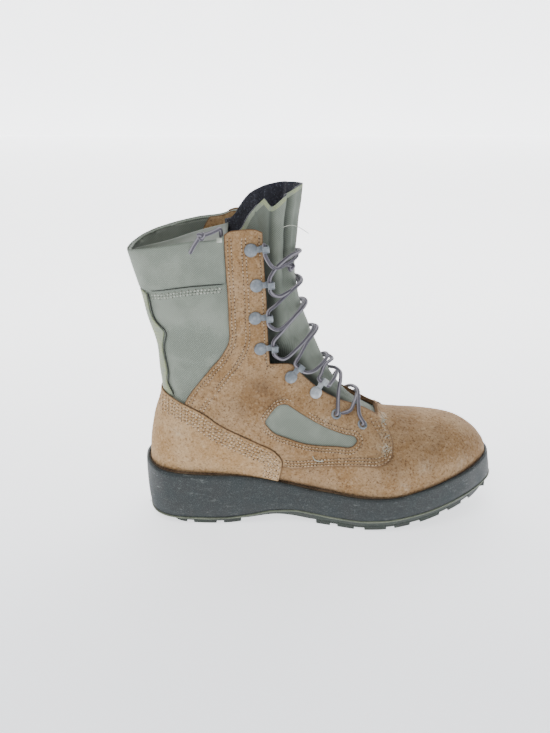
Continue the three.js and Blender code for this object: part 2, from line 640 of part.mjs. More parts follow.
// A frame on the surface: x along the given direction as far as the surface allows, z outwards.
function frameAt({ point, normal }, direction, lift) {
  const across = new THREE.Vector3().crossVectors(normal, direction).normalize();
  const along = new THREE.Vector3().crossVectors(across, normal);
  const matrix = new THREE.Matrix4().makeBasis(along, across, normal);
  return matrix.setPosition(point.clone().addScaledVector(normal, lift));
}

// The holes that the eyelets' barrels pass through.
function drill(leather) {
  let drilled = leather;
  for (const [, inner] of SIDES) {
    for (const row of EYELETS) {
      const radius = EYELET_HOLE / 2 + BARREL_ROOM;
      const hole = new THREE.CylinderGeometry(radius, radius, 8 * WALL, ROUND);
      hole.rotateX(Math.PI / 2);
      hole.applyMatrix4(frameAt(seat(row, inner), new THREE.Vector3(1, 0, 0), 0));
      drilled = drilled.subtract(toManifold(hole));
    }
  }
  return drilled;
}

// The counter's edge with room for a seam around it.
const counterEdge = COUNTER.map(({ at, up }) => ({ at: at + 0.0015, up: up + 0.005 }));

// The leather of one side, with the vent cut out of it and its lower edge ahead of the counter.
function makeQuarter(inner) {
  const half = inner < 0 ? [-BALL_WIDTH, ridgeY - GAP / 2] : [ridgeY + GAP / 2, BALL_WIDTH];
  const quarter = overlay(OVERLAY).intersect(sidePrism(QUARTER, ...half));
  return drill(quarter.subtract(sidePrism(counterEdge)).subtract(sidePrism(VENT, ...half)));
}

// A rivet's disc with an arm that folds back over the lace's channel; x is the arm's direction, z is outwards.
function makeHook() {
  const disc = new THREE.CylinderGeometry(HOOK_DISC / 2 - HOOK_METAL, HOOK_DISC / 2, DISC_HEIGHT, ROUND);
  disc.rotateX(Math.PI / 2).translate(0, 0, DISC_HEIGHT / 2);
  const channel = LACE + 2 * LACE_CLEARANCE;
  const [start, end] = [HOOK_REACH - channel / 2, HOOK_REACH + channel / 2];
  const roof = HOOK_METAL + channel;
  const [tip, top, round] = [end + HOOK_METAL, roof + HOOK_METAL, HOOK_METAL / 2];
  const profile = new THREE.Shape([
    [0, 0], [tip, 0], [tip, top - round], [tip - round, top], [start, top], [start, roof], [end, roof],
    [end, HOOK_METAL], [0, HOOK_METAL],
  ].map(([x, y]) => new THREE.Vector2(x, y)));
  const strap = new THREE.ExtrudeGeometry(profile, { depth: HOOK_WIDTH, bevelEnabled: false });
  strap.rotateX(Math.PI / 2).translate(0, HOOK_WIDTH / 2, 0);
  return toGeometry(toManifold(disc).add(toManifold(strap)));
}

// A rolled rim with a barrel through the leather; z is outwards.
function makeEyelet() {
  const [rim, hole] = [EYELET_RIM / 2, EYELET_HOLE / 2];
  const depth = OVERLAY + WALL + GAP;
  const profile = [
    [hole, -depth], [hole + BARREL, -depth], [hole + BARREL, 0], [rim, 0], [rim - BARREL / 2, BARREL],
    [hole + BARREL, 1.6 * BARREL], [hole, BARREL], [hole, -depth],
  ].map(([r, z]) => new THREE.Vector2(r, z));
  return new THREE.LatheGeometry(profile, ROUND).rotateX(Math.PI / 2);
}

// The frames of one side's hooks, top one first.
function hookFrames(inner) {
  return HOOKS.map((row) => {
    const turn = THREE.MathUtils.degToRad(row.turn);
    return frameAt(seat(row, inner), new THREE.Vector3(Math.cos(turn), 0, Math.sin(turn)), HOOK_SEAT);
  });
}

// The angle from the top of a section to the edge of the throat.
function throatAngle(place) {
  const edge = THROAT.map((p) => [p.at * SOLE_LENGTH, sideZ(p.up)]);
  const step = THREE.MathUtils.degToRad(1);
  let angle = 0;
  for (; angle < Math.PI / 2; angle += step) {
    const { x, z } = formPoint(place, angle);
    let inside = false;
    edge.forEach(([ax, az], i) => {
      const [bx, bz] = edge[(i + 1) % edge.length];
      if (az > z !== bz > z && x < ax + ((z - az) * (bx - ax)) / (bz - az)) inside = !inside;
    });
    if (!inside) break;
  }
  return angle;
}

// A folded sheet that closes the throat, its sides tucked inside the walls.
function makeTongue() {
  const tuck = THREE.MathUtils.degToRad(TONGUE_TUCK);
  const inside = WALL + 2.5 * GAP;
  const half = [...TONGUE_SHAPE, { ...TONGUE_SHAPE.at(-1), tuck }].map((row) => ({ ...row, hand: 1 }));
  const columns = [...half.slice(1).reverse().map((row) => ({ ...row, hand: -1 })), ...half];
  const rows = [];
  for (let place = TONGUE_ROWS.from; place <= TONGUE_ROWS.to; place++) {
    const open = throatAngle(place);
    const share = THREE.MathUtils.smoothstep(THREE.MathUtils.radToDeg(open), TONGUE_RISE.from, TONGUE_RISE.to);
    const spread = THREE.MathUtils.degToRad(TONGUE_RISE.spread) * (1 - share);
    rows.push(columns.map(({ across, stand, fold, tuck: beyond = 0, hand }) => {
      const angle = hand * (across * (open + spread) + beyond);
      const depth = -inside + stand * inside * share - fold * TONGUE_FOLD * share;
      return [formPoint(place, angle, depth), formPoint(place, angle, depth - TONGUE)];
    }));
  }
  return sheet(rows).subtract(above(TONGUE_TOP));
}

// A closed sheet from rows of point pairs, each an outer and an inner point.
function sheet(rows) {
  const wide = rows[0].length;
  const positions = rows.flat(2).flatMap((p) => [p.x, p.y, p.z]);
  const id = (i, k, layer) => 2 * (i * wide + k) + layer;
  const index = [];
  const quad = (a, b, c, d) => index.push(a, b, c, a, c, d);
  for (let i = 0; i < rows.length - 1; i++) {
    for (let k = 0; k < wide - 1; k++) {
      quad(id(i, k, 0), id(i + 1, k, 0), id(i + 1, k + 1, 0), id(i, k + 1, 0));
      quad(id(i, k, 1), id(i, k + 1, 1), id(i + 1, k + 1, 1), id(i + 1, k, 1));
    }
    quad(id(i, 0, 0), id(i, 0, 1), id(i + 1, 0, 1), id(i + 1, 0, 0));
    quad(id(i, wide - 1, 0), id(i + 1, wide - 1, 0), id(i + 1, wide - 1, 1), id(i, wide - 1, 1));
  }
  const last = rows.length - 1;
  for (let k = 0; k < wide - 1; k++) {
    quad(id(0, k, 0), id(0, k + 1, 0), id(0, k + 1, 1), id(0, k, 1));
    quad(id(last, k, 0), id(last, k, 1), id(last, k + 1, 1), id(last, k + 1, 0));
  }
  return solid(positions, index);
}

// The place and angle on the form that lie nearest to a point of one side.
function nearestOnForm(point, inner) {
  const step = { place: 0.25, angle: 0.05 };
  let best = { distance: Infinity };
  for (let place = TONGUE_ROWS.from - 1; place < SECTIONS.length - 1; place += step.place) {
    for (let angle = 0; angle < Math.PI / 2; angle += step.angle) {
      const distance = formPoint(place, -inner * angle).distanceTo(point);
      if (distance < best.distance) best = { distance, place, angle: -inner * angle };
    }
  }
  return best;
}

// A length of lace through a list of points, with a station at each of them.
function tube(points, sides) {
  const ring = Array.from({ length: sides }, (_, k) => new THREE.Vector2(
    (LACE / 2) * Math.cos((2 * Math.PI * k) / sides), (LACE / 2) * Math.sin((2 * Math.PI * k) / sides)));
  const extrudePath = new THREE.CatmullRomCurve3(points, false, "centripetal");
  extrudePath.getUtoTmapping = (u) => u;
  const steps = points.length - 1;
  return toManifold(new THREE.ExtrudeGeometry(new THREE.Shape(ring), { steps, bevelEnabled: false, extrudePath }));
}

// Where the lace passes each hook and eyelet of one side, from the top down, as the points below and above it.
function lacePasses(inner) {
  const channel = LACE + 2 * LACE_CLEARANCE;
  const passes = hookFrames(inner).map((frame) => [1, -1].map((end) => new THREE.Vector3(
    HOOK_REACH, end * inner * (HOOK_WIDTH / 2 + LACE_RUN), HOOK_METAL + channel / 2).applyMatrix4(frame)));
  for (const row of EYELETS) {
    const { point, normal } = seat(row, inner);
    passes.push([point.clone().addScaledVector(normal, LACE_TURN)]);
  }
  return passes;
}

// Both strands of the lace, crossing over the tongue and joined there.
function makeLace() {
  const passes = { lateral: lacePasses(-1), medial: lacePasses(1) };
  const count = HOOKS.length + EYELETS.length;
  const seats = SIDES.map(([name, inner]) => passes[name].map((points) => nearestOnForm(points[0], inner)));
  const strands = [0, 1].map((first) => {
    const route = [];
    for (let level = count - 1; level >= 0; level--) {
      const hand = (count - 1 - level + first) % 2;
      const name = SIDES[hand][0];
      route.push(...passes[name][level]);
      if (level === 0) break;
      const here = seats[hand][level];
      const next = seats[1 - hand][level - 1];
      const around = seats.flatMap((hooks) => [hooks[level], hooks[level - 1]]);
      const middle = around.reduce((sum, near) => sum + near.place / around.length, 0);
      for (const share of [0.3, 0.65]) {
        const place = THREE.MathUtils.lerp(here.place, middle, share);
        route.push(formPoint(place, here.angle * (1 - share), LACE_STAND));
      }
      route.push(formPoint(middle, 0, LACE_STAND));
      for (const share of [0.65, 0.3]) {
        const place = THREE.MathUtils.lerp(next.place, middle, share);
        route.push(formPoint(place, next.angle * (1 - share), LACE_STAND));
      }
    }
    return tube(route, 6);
  });
  return strands[0].add(strands[1]);
}

function ball(centre, radius) {
  const geometry = new THREE.SphereGeometry(radius, 8, 6);
  geometry.translate(centre.x, centre.y, centre.z);
  return toManifold(geometry);
}

// The free end: up inside the collar, over its edge beside the eyestay, a knot and a short tail.
function makeLaceTail() {
  const route = LACE_TAIL.map((row) => {
    const { point, normal } = onForm(outerSkin, row.at * SOLE_LENGTH, sideZ(row.up), -1);
    return point.addScaledVector(normal, row.stand - GAP - OVERLAY);
  });
  return tube(route, 8).add(ball(route[LACE_TAIL.findIndex((row) => row.knot)], TAIL_KNOT));
}

place("outsole", makeOutsole(), MATERIALS.tread);
place("midsole", makeMidsole(), MATERIALS.rubber);
const shell = makeShell();
const seam = SHAFT_SEAM.map(({ at, up }) => ({ at, up: up - SEAM_GAP }));
place("upper", shell.subtract(sidePrism(seam)), MATERIALS.suede);
place("shaft", shell.intersect(sidePrism(SHAFT_SEAM)), MATERIALS.nylon);
place("insole", makeInsole(), MATERIALS.foam);
place("heel_counter", overlay(COUNTER_THICKNESS).intersect(sidePrism(COUNTER)), MATERIALS.suede);
const backStay = overlay(CUFF_THICKNESS).intersect(sidePrism(BACK_STAY)).subtract(sidePrism(counterEdge));
place("back_stay", backStay, MATERIALS.nylon);
place("collar_cuff", overlay(CUFF_THICKNESS).intersect(sidePrism(CUFF)), MATERIALS.nylon);
place("tongue", makeTongue(), MATERIALS.nylon);
place("lace", makeLace(), MATERIALS.lace);
const knot = new THREE.Vector3(KNOT.at * SOLE_LENGTH, KNOT.across * BALL_WIDTH, sideZ(KNOT.up));
place("lace_knot", ball(knot, KNOT.radius), MATERIALS.lace);
place("lace_tail", makeLaceTail(), MATERIALS.lace);
const [hook, eyelet] = [makeHook(), makeEyelet()];
for (const [name, inner] of SIDES) {
  place(`quarter_${name}`, makeQuarter(inner), MATERIALS.suede);
  hookFrames(inner).forEach((frame, i) => placeCopy(`hook_${name}_${i + 1}`, hook, frame, MATERIALS.metal));
  EYELETS.forEach((row, i) => {
    const frame = frameAt(seat(row, inner), new THREE.Vector3(1, 0, 0), HOOK_SEAT);
    placeCopy(`eyelet_${name}_${i + 1}`, eyelet, frame, MATERIALS.metal);
  });
}

// The origin is the middle of the footprint, on the floor; the lace's loose knots don't count.
const footprint = new THREE.Box3();
for (const mesh of boot.children) {
  if (!["lace_knot", "lace_tail"].includes(mesh.name)) footprint.expandByObject(mesh, true);
}
const origin = footprint.getCenter(new THREE.Vector3()).setZ(footprint.min.z);
for (const mesh of boot.children) mesh.position.sub(origin);

export default boot;
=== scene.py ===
"""A worn combat boot for the right foot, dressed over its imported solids.

Lengths inside this file are millimetres in the boot's own frame: x from the back of the heel towards the
toe, y towards the inner side of the foot, z up from the floor. Finished meshes are moved to the row frame,
in metres, by one function.
"""

from __future__ import annotations

import logging
import math
import random
from dataclasses import dataclass, field
from enum import Enum
from typing import Callable, Iterable, Sequence

import bmesh
import bpy
import numpy as np
from mathutils import Matrix, Vector
from mathutils.bvhtree import BVHTree

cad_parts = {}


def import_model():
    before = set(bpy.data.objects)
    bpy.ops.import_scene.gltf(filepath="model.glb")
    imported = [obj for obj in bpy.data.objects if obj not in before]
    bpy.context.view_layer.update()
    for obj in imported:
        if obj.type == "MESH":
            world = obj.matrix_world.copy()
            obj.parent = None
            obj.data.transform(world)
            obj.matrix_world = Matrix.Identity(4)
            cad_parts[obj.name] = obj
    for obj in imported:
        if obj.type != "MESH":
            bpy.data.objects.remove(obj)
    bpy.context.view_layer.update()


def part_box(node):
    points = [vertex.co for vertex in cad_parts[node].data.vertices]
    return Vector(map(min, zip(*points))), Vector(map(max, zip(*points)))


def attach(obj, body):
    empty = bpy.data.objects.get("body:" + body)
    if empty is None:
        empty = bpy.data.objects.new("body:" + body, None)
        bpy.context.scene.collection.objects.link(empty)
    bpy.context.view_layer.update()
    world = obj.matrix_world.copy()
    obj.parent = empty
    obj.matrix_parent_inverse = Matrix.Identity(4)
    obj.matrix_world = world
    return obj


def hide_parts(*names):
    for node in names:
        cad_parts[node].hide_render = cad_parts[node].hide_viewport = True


LOG = logging.getLogger("boot")
MM = 0.001
ORIGIN = np.array([155.044, 0.583, 0.0])
BODY = "root"
FAR_IN = 20.0  # distance to the nearest cut edge, on pieces that have none
WAVE_PITCH = 0.314  # bands of a wave texture of scale 1 are this far apart

SOLE_LENGTH = 315.0
BALL_WIDTH = 106.0
HEEL_HEIGHT = 36.0
BALL_HEIGHT = 20.5
INSTEP_HEIGHT = 96.0
COLLAR_HEIGHT = 266.0
COLLAR_BACK = 240.0
SHAFT_WIDTH = 67.0
OUTSOLE_THICKNESS = 9.5
LIP_HEIGHT = 18.0
LIP_THICKNESS = 3.2
TOE_SPRING = 18.5
TOE_LEAN = 3.0
ARCH_LIFT = 7.5
HEEL_BEVEL = 18.0
LUG_DEPTH = 4.0
WALL = 2.4
LEATHER = 1.5
GAP = 0.3

Array = np.ndarray
Field = Callable[[Array], Array]
Test = Callable[[Array], Array]


class Side(Enum):
    """The two sides of the boot, with the sign of y on each."""

    OUTER = -1
    INNER = 1
    BOTH = 0

    @property
    def label(self) -> str:
        """The side's name in the pieces."""
        return self.name.lower()

    @property
    def foot(self) -> str:
        """The side's name in the solids."""
        return "lateral" if self is Side.OUTER else "medial"

    def shares(self, near: float, far: float) -> tuple[float, float]:
        """First and last share of the half girth on this side, where the outer side's are positive."""
        return (near, far) if self is Side.OUTER else (-far, -near)


SIDES = (Side.OUTER, Side.INNER)


def smoothstep(low: float, high: float, value: Array) -> Array:
    """Eases from 0 at low to 1 at high."""
    share = np.clip((value - low) / (high - low), 0.0, 1.0)
    return share * share * (3 - 2 * share)


def reached(path: Array) -> Array:
    """How far along a line each of its points lies."""
    return np.concatenate([[0], np.cumsum(np.linalg.norm(np.diff(path, axis=0), axis=1))])


@dataclass(frozen=True)
class Profile:
    """A curve through rows of (at, value) that doesn't overshoot between them."""

    at: tuple[float, ...]
    value: tuple[float, ...]

    def __call__(self, place: Array | float) -> Array:
        """Reads the curve.

        Args:
            place: where to read it, in the units of at.

        Returns:
            The values there, held at the ends.
        """
        at, value = np.array(self.at), np.array(self.value)
        slope = np.diff(value) / np.diff(at)
        product = slope[:-1] * slope[1:]
        total = slope[:-1] + slope[1:]
        inner = np.where(product > 0, 2 * product / np.where(total == 0, 1, total), 0)
        tangent = np.concatenate([slope[:1], inner, slope[-1:]])
        x = np.clip(place, at[0], at[-1])
        i = np.clip(np.searchsorted(at, x, side="right") - 1, 0, len(at) - 2)
        width = at[i + 1] - at[i]
        t = (x - at[i]) / width
        blend = t * t * (3 - 2 * t)
        bow = t * (1 - t) * width
        line = value[i] * (1 - blend) + value[i + 1] * blend
        return line + bow * ((1 - t) * tangent[i] - t * tangent[i + 1])


def side_height(up: Array | float) -> Array:
    """Turns a height share, 1 at the instep and 2 at the collar's front, into millimetres."""
    up = np.asarray(up, float)
    return np.where(up <= 1, up * INSTEP_HEIGHT, INSTEP_HEIGHT + (up - 1) * (COLLAR_HEIGHT - INSTEP_HEIGHT))


SOLE_SIDE = (
    # at, arch, spring, heel, tread, welt, lip
    (0, 0, 0, 1, 1, 1, 0.98),
    (0.04, 0, 0, 1, 1, 0.74, 0.88),
    (0.1, 0, 0, 1, 1, 0.64, 0.78),
    (0.225, 0, 0, 0.99, 1, 0.64, 0.72),
    (0.29, 0.25, 0, 0.92, 0.8, 0.66, 0.68),
    (0.37, 1, 0, 0.76, 0, 0.48, 0.54),
    (0.42, 0.8, 0, 0.62, 0.1, 0.72, 0.44),
    (0.475, 0.1, 0, 0.46, 0.9, 1.1, 0.4),
    (0.53, 0, 0, 0.3, 1, 1, 0.46),
    (0.6, 0, 0, 0.14, 1, 1, 0.54),
    (0.645, 0, 0.07, 0.07, 1, 1, 0.57),
    (0.715, 0, 0.23, 0, 1, 1, 0.58),
    (0.785, 0, 0.43, 0, 1, 1, 0.66),
    (0.86, 0, 0.665, 0, 1, 0.98, 0.7),
    (0.922, 0, 0.85, 0, 1, 1, 0.68),
    (1, 0, 1, 0, 1, 0.92, 0.7),
)


class SoleSide:
    """Heights of the sole above the floor, from the back of the heel to the tip of the toe."""

    def __init__(self) -> None:
        """Makes one curve for each column of the table."""
        at = tuple(row[0] for row in SOLE_SIDE)
        names = ("arch", "spring", "heel", "tread", "welt", "lip")
        columns = zip(*(row[1:] for row in SOLE_SIDE))
        self.share = {name: Profile(at, column) for name, column in zip(names, columns)}

    def read(self, column: str, x: Array) -> Array:
        """Reads a column at a distance from the back of the heel."""
        return self.share[column](np.asarray(x, float) / SOLE_LENGTH)

    def tread(self, x: Array) -> Array:
        """The underside of the lugs."""
        return ARCH_LIFT * self.read("arch", x) + TOE_SPRING * self.read("spring", x)

    def base(self, x: Array) -> Array:
        """The bottom of the grooves between the lugs."""
        return self.tread(x) + LUG_DEPTH * self.read("tread", x)

    def welt(self, x: Array) -> Array:
        """The line where the tread meets the rubber wall."""
        return self.tread(x) + OUTSOLE_THICKNESS * self.read("welt", x)

    def deck(self, x: Array) -> Array:
        """The deck that carries the foot."""
        rise = (HEEL_HEIGHT - BALL_HEIGHT) * self.read("heel", x)
        return BALL_HEIGHT + rise + TOE_SPRING * self.read("spring", x)

    def rim(self, x: Array) -> Array:
        """The upper edge of the rubber wall."""
        return self.deck(x) + LIP_HEIGHT * self.read("lip", x)


SIDE = SoleSide()

SECTIONS = (
    # top, rise, bottom, back, centre, half, ridge, waist, crown, base, slack
    (0.9825, 0.11, 0.9825, 0, 0.132, 0, 0, 0.55, 2, 2.3, 0),
    (0.978, 0.24, 0.977, 0, 0.132, 0.092, 0, 0.55, 2, 2.3, 0),
    (0.967, 0.325, 0.966, 0, 0.137, 0.155, 0, 0.6, 2.2, 2.8, 0),
    (0.951, 0.405, 0.95, 0, 0.134, 0.222, 0, 0.63, 2.3, 3.2, 0),
    (0.924, 0.494, 0.924, 0, 0.12, 0.294, 0.015, 0.66, 2.4, 3.4, 0),
    (0.889, 0.58, 0.889, 0, 0.092, 0.358, 0.035, 0.68, 2.5, 3.7, 0),
    (0.841, 0.668, 0.841, 0, 0.059, 0.415, 0.06, 0.7, 2.4, 4, 0),
    (0.784, 0.751, 0.784, 0, 0.03, 0.455, 0.08, 0.72, 2.3, 4, 0),
    (0.727, 0.83, 0.727, 0, 0.009, 0.471, 0.085, 0.72, 2.1, 4, 0),
    (0.671, 0.912, 0.665, 0, -0.008, 0.466, 0.08, 0.72, 2, 4, 0),
    (0.62, 1.035, 0.58, 0, -0.014, 0.428, 0.06, 0.7, 1.9, 3.8, 0),
    (0.57, 1.115, 0.475, 0, -0.02, 0.385, 0.04, 0.66, 1.9, 3.6, 0),
    (0.53, 1.21, 0.332, 0, -0.01, 0.4, 0.02, 0.62, 1.9, 3.4, 0),
    (0.503, 1.31, 0.19, 0, -0.01, 0.43, 0.01, 0.6, 1.9, 3.2, 0),
    (0.483, 1.395, 0.08, 0, -0.005, 0.47, 0, 0.58, 2, 3, 0),
    (0.467, 1.45, 0.03, 0.04, 0, 0.5, 0, 0.57, 2.1, 2.8, 0),
    (0.454, 1.5, 0.024, 0.14, 0, 0.51, 0, 0.55, 2.1, 2.6, 0),
    (0.443, 1.553, 0.038, 0.275, 0, 0.505, 0, 0.53, 2.2, 2.4, 0),
    (0.433, 1.612, 0.06, 0.387, 0, 0.5, 0, 0.51, 2.2, 2.3, 0),
    (0.426, 1.682, 0.057, 0.495, 0, 0.495, 0, 0.5, 2.2, 2.2, 0),
    (0.421, 1.765, 0.052, 0.608, 0, 0.495, 0, 0.5, 2.2, 2.2, 0.1),
    (0.421, 1.847, 0.03, 0.73, 0.01, 0.5, 0, 0.5, 2.2, 2.2, 0.3),
    (0.424, 1.935, 0.016, 0.828, 0.02, 0.51, 0, 0.5, 2.2, 2.1, 0.9),
    (0.427, 2, -0.014, 1, 0.03, 0.52, 0, 0.5, 2.2, 2, 1.8),
    (0.433, 2.082, -0.025, 1.078, 0.03, 0.52, 0, 0.5, 2.2, 2, 1.8),
    (0.437, 2.165, -0.035, 1.157, 0.03, 0.52, 0, 0.5, 2.2, 2, 1.8),
)


class Last:
    """The form of the upper: smooth sections that fan from the toe to above the collar."""

    COLUMNS = (
        "top_x", "top_z", "bottom_x", "bottom_z", "mid", "half", "lean", "waist", "crown", "base", "slack",
    )
    TABLE_STEP = 0.125
    TABLE_SHARES = 321

    def __init__(self) -> None:
        """Turns the table of sections into millimetres and measures each section's girth."""
        rows = [self._measured(*section) for section in SECTIONS]
        tip, first = rows[0], rows[1]
        ghost = first.copy()
        ghost[1] = 2 * tip[1] - first[1]
        ghost[5] = -first[5]
        self.rows = np.vstack([ghost, *rows, 2 * rows[-1] - rows[-2]])
        self.last_place = len(SECTIONS) - 2
        self._measure_girths()

    @staticmethod
    def _measured(
        top: float, rise: float, bottom: float, back: float, centre: float, half: float, ridge: float,
        waist: float, crown: float, base: float, slack: float,
    ) -> Array:
        """One section's columns in millimetres.

        Args:
            top: where the top lies, as a share of the sole's length.
            rise: how high it is: 0 at the deck, 1 at the instep and 2 at the collar.
            bottom: where the bottom lies, as a share of the sole's length.
            back: how far the bottom climbs the heel, from 0 to 1.
            centre: the middle's place across, as a share of the width there.
            half: half the breadth, as a share of the width there.
            ridge: how far the top leans across, as a share of the width there.
            waist, crown, base, slack: plain numbers that shape the outline, passed on.

        Returns:
            The columns, as COLUMNS names them.
        """
        shaft = min(max(2 * (rise - 1), 0), 1)
        width = BALL_WIDTH + (SHAFT_WIDTH - BALL_WIDTH) * shaft
        top_x, bottom_x = top * SOLE_LENGTH, bottom * SOLE_LENGTH
        foot = SIDE.deck(top_x) + rise * (INSTEP_HEIGHT - BALL_HEIGHT)
        top_z = foot if rise <= 1 else side_height(rise)
        bottom_z = SIDE.deck(bottom_x) + GAP + back * (COLLAR_BACK - HEEL_HEIGHT)
        sizes = (top_x, top_z, bottom_x, bottom_z, width * centre, width * half, width * ridge)
        return np.array([float(v) for v in (*sizes, waist, crown, base, slack)])

    def section(self, place: Array) -> dict[str, Array]:
        """The columns at places between the sections; -1 is the tip of the toe."""
        t = np.clip(np.asarray(place, float) + 1, 0, self.last_place + 1 - 1e-9)
        i = np.floor(t).astype(int)
        f = (t - i)[..., None]
        p0, p1, p2, p3 = (self.rows[i + k] for k in range(4))
        bend = 2 * p0 - 5 * p1 + 4 * p2 - p3
        value = 0.5 * (2 * p1 + (p2 - p0) * f + bend * f**2 + (3 * p1 - p0 - 3 * p2 + p3) * f**3)
        return dict(zip(self.COLUMNS, np.moveaxis(value, -1, 0)))

    def turned(self, place: Array, turn: Array) -> Array:
        """Points at an angle from the top of a section towards the outer side.

        Args:
            place: places between the sections.
            turn: angles in radians, one for each place.

        Returns:
            Points, one row each.
        """
        row = self.section(place)
        c, s = np.cos(turn), np.sin(turn)
        low = row["base"] + np.where(s < 0, np.maximum(row["slack"], 0), 0)
        power = 2 / np.where(c > 0, row["crown"], low)
        reach = np.abs(c) ** power
        waist = row["waist"]
        down = np.where(c > 0, waist * (1 - reach), waist + (1 - waist) * reach)
        across = -np.sign(s) * np.abs(s) ** power
        lean = row["lean"] * np.maximum(0, 1 - down / waist) ** 1.5
        x = row["top_x"] + (row["bottom_x"] - row["top_x"]) * down
        z = row["top_z"] + (row["bottom_z"] - row["top_z"]) * down
        return np.stack([x, row["mid"] + lean + row["half"] * across, z], axis=-1)

    def _measure_girths(self) -> None:
        """Tabulates the angle that lies at each share of each half section's girth."""
        self.places = np.arange(-1, self.last_place + self.TABLE_STEP / 2, self.TABLE_STEP)
        self.shares = np.linspace(-1, 1, self.TABLE_SHARES)
        quarter = (1 - np.cos(np.linspace(0, math.pi, 121))) / 2 * math.pi / 2
        turns = np.concatenate([quarter, quarter[1:] + math.pi / 2])
        self.angles = np.empty((len(self.places), self.TABLE_SHARES))
        self.girths = np.empty((len(self.places), 2))
        for i, place in enumerate(self.places):
            for k, sign in enumerate((1, -1)):
                line = self.turned(np.full(len(turns), place), sign * turns)
                length = reached(line)
                self.girths[i, k] = length[-1]
                half = np.abs(self.shares)
                angle = np.interp(half, length / max(length[-1], 1e-9), turns)
                chosen = self.shares * sign >= 0
                self.angles[i, chosen] = sign * angle[chosen]

    def _read(self, table: Array, place: Array, share: Array, columns: Array) -> Array:
        """Reads a table between its places and columns."""
        u = np.clip((place + 1) / self.TABLE_STEP, 0, len(self.places) - 1 - 1e-9)
        v = np.clip(share, 0, columns - 1 - 1e-9)
        i, k = np.floor(u).astype(int), np.floor(v).astype(int)
        fu, fv = u - i, v - k
        low = table[i, k] * (1 - fv) + table[i, k + 1] * fv
        high = table[i + 1, k] * (1 - fv) + table[i + 1, k + 1] * fv
        return low * (1 - fu) + high * fu

    def point(self, place: Array, share: Array) -> Array:
        """Points at a share of the half girth, from 0 on top to 1 underneath; outer side positive."""
        column = (np.asarray(share, float) + 1) * (self.TABLE_SHARES - 1) / 2
        turn = self._read(self.angles, np.asarray(place, float), column, self.TABLE_SHARES)
        return self.turned(place, turn)

    def girth(self, place: Array, outer: Array) -> Array:
        """The length of half a section, over the outer or the inner side."""
        i = np.clip((np.asarray(place, float) + 1) / self.TABLE_STEP, 0, len(self.places) - 1)
        each = [np.interp(i, np.arange(len(self.places)), self.girths[:, k]) for k in (0, 1)]
        return np.where(outer, each[0], each[1])

    def normal(self, place: Array, share: Array) -> Array:
        """Directions that face out of the form."""
        step, turn = 0.05, 0.006
        along = self.point(place + step, share) - self.point(place - step, share)
        around = self.point(place, share + turn) - self.point(place, share - turn)
        out = np.cross(along, around)
        return out / np.maximum(np.linalg.norm(out, axis=-1, keepdims=True), 1e-9)

    def grown(self, place: Array, share: Array, grow: Array | float) -> Array:
        """Points moved out of the form by a distance."""
        return self.point(place, share) + self.normal(place, share) * np.asarray(grow, float)[..., None]


@dataclass(frozen=True)
class Edge:
    """A closed line seen from the side, through knots of (at, up) shares.

    Attributes:
        knots: share of the sole's length and height share of each knot.
        corner: turns sharper than this many degrees stay corners.
    """

    knots: tuple[tuple[float, float], ...]
    corner: float = 52.0

    def line(self, spacing: float = 1.6) -> Array:
        """The closed line as points in millimetres, rounded between its corners.

        Args:
            spacing: how far apart the points lie.

        Returns:
            Rows of distance from the heel and height.
        """
        at = np.array([k[0] for k in self.knots]) * SOLE_LENGTH
        knots = np.stack([at, side_height(np.array([k[1] for k in self.knots]))], axis=1)
        ahead, behind = np.roll(knots, -1, 0) - knots, knots - np.roll(knots, 1, 0)
        reach, back = np.linalg.norm(ahead, axis=1), np.linalg.norm(behind, axis=1)
        cosine = (ahead * behind).sum(1) / (reach * back)
        smooth = cosine > math.cos(math.radians(self.corner))
        unit = ahead / reach[:, None] * back[:, None] + behind / back[:, None] * reach[:, None]
        tangent = unit / (reach + back)[:, None]
        points = []
        for i, start in enumerate(knots):
            j = (i + 1) % len(knots)
            leave = tangent[i] if smooth[i] else ahead[i] / reach[i]
            arrive = tangent[j] if smooth[j] else ahead[i] / reach[i]
            for t in np.arange(0, 1, spacing / max(reach[i], spacing)):
                h = (2 * t**3 - 3 * t**2 + 1, t**3 - 2 * t**2 + t, 3 * t**2 - 2 * t**3, t**3 - t**2)
                point = h[0] * start + h[1] * reach[i] * leave
                points.append(point + h[2] * knots[j] + h[3] * reach[i] * arrive)
        return np.array(points)

    def depth(self, x: Array, z: Array) -> Array:
        """How far inside the line points are, negative outside it.

        Args:
            x: distances from the heel.
            z: heights.

        Returns:
            Distances in millimetres.
        """
        start = self.line()
        end = np.roll(start, -1, 0)
        nearest = np.full(np.shape(x), 1e9)
        inside = np.zeros(np.shape(x), bool)
        for (ax, az), (bx, bz) in zip(start, end):
            dx, dz = bx - ax, bz - az
            t = np.clip(((x - ax) * dx + (z - az) * dz) / max(dx * dx + dz * dz, 1e-9), 0, 1)
            nearest = np.minimum(nearest, (x - ax - t * dx) ** 2 + (z - az - t * dz) ** 2)
            if bz != az:
                inside ^= ((az > z) != (bz > z)) & (x < ax + (z - az) * dx / dz)
        return np.where(inside, 1, -1) * np.sqrt(nearest)


def over(rows: Sequence[tuple[float, float]]) -> Edge:
    """The area above an open edge."""
    return Edge((*rows, (rows[-1][0], 3.2), (rows[0][0], 3.2)), corner=40)


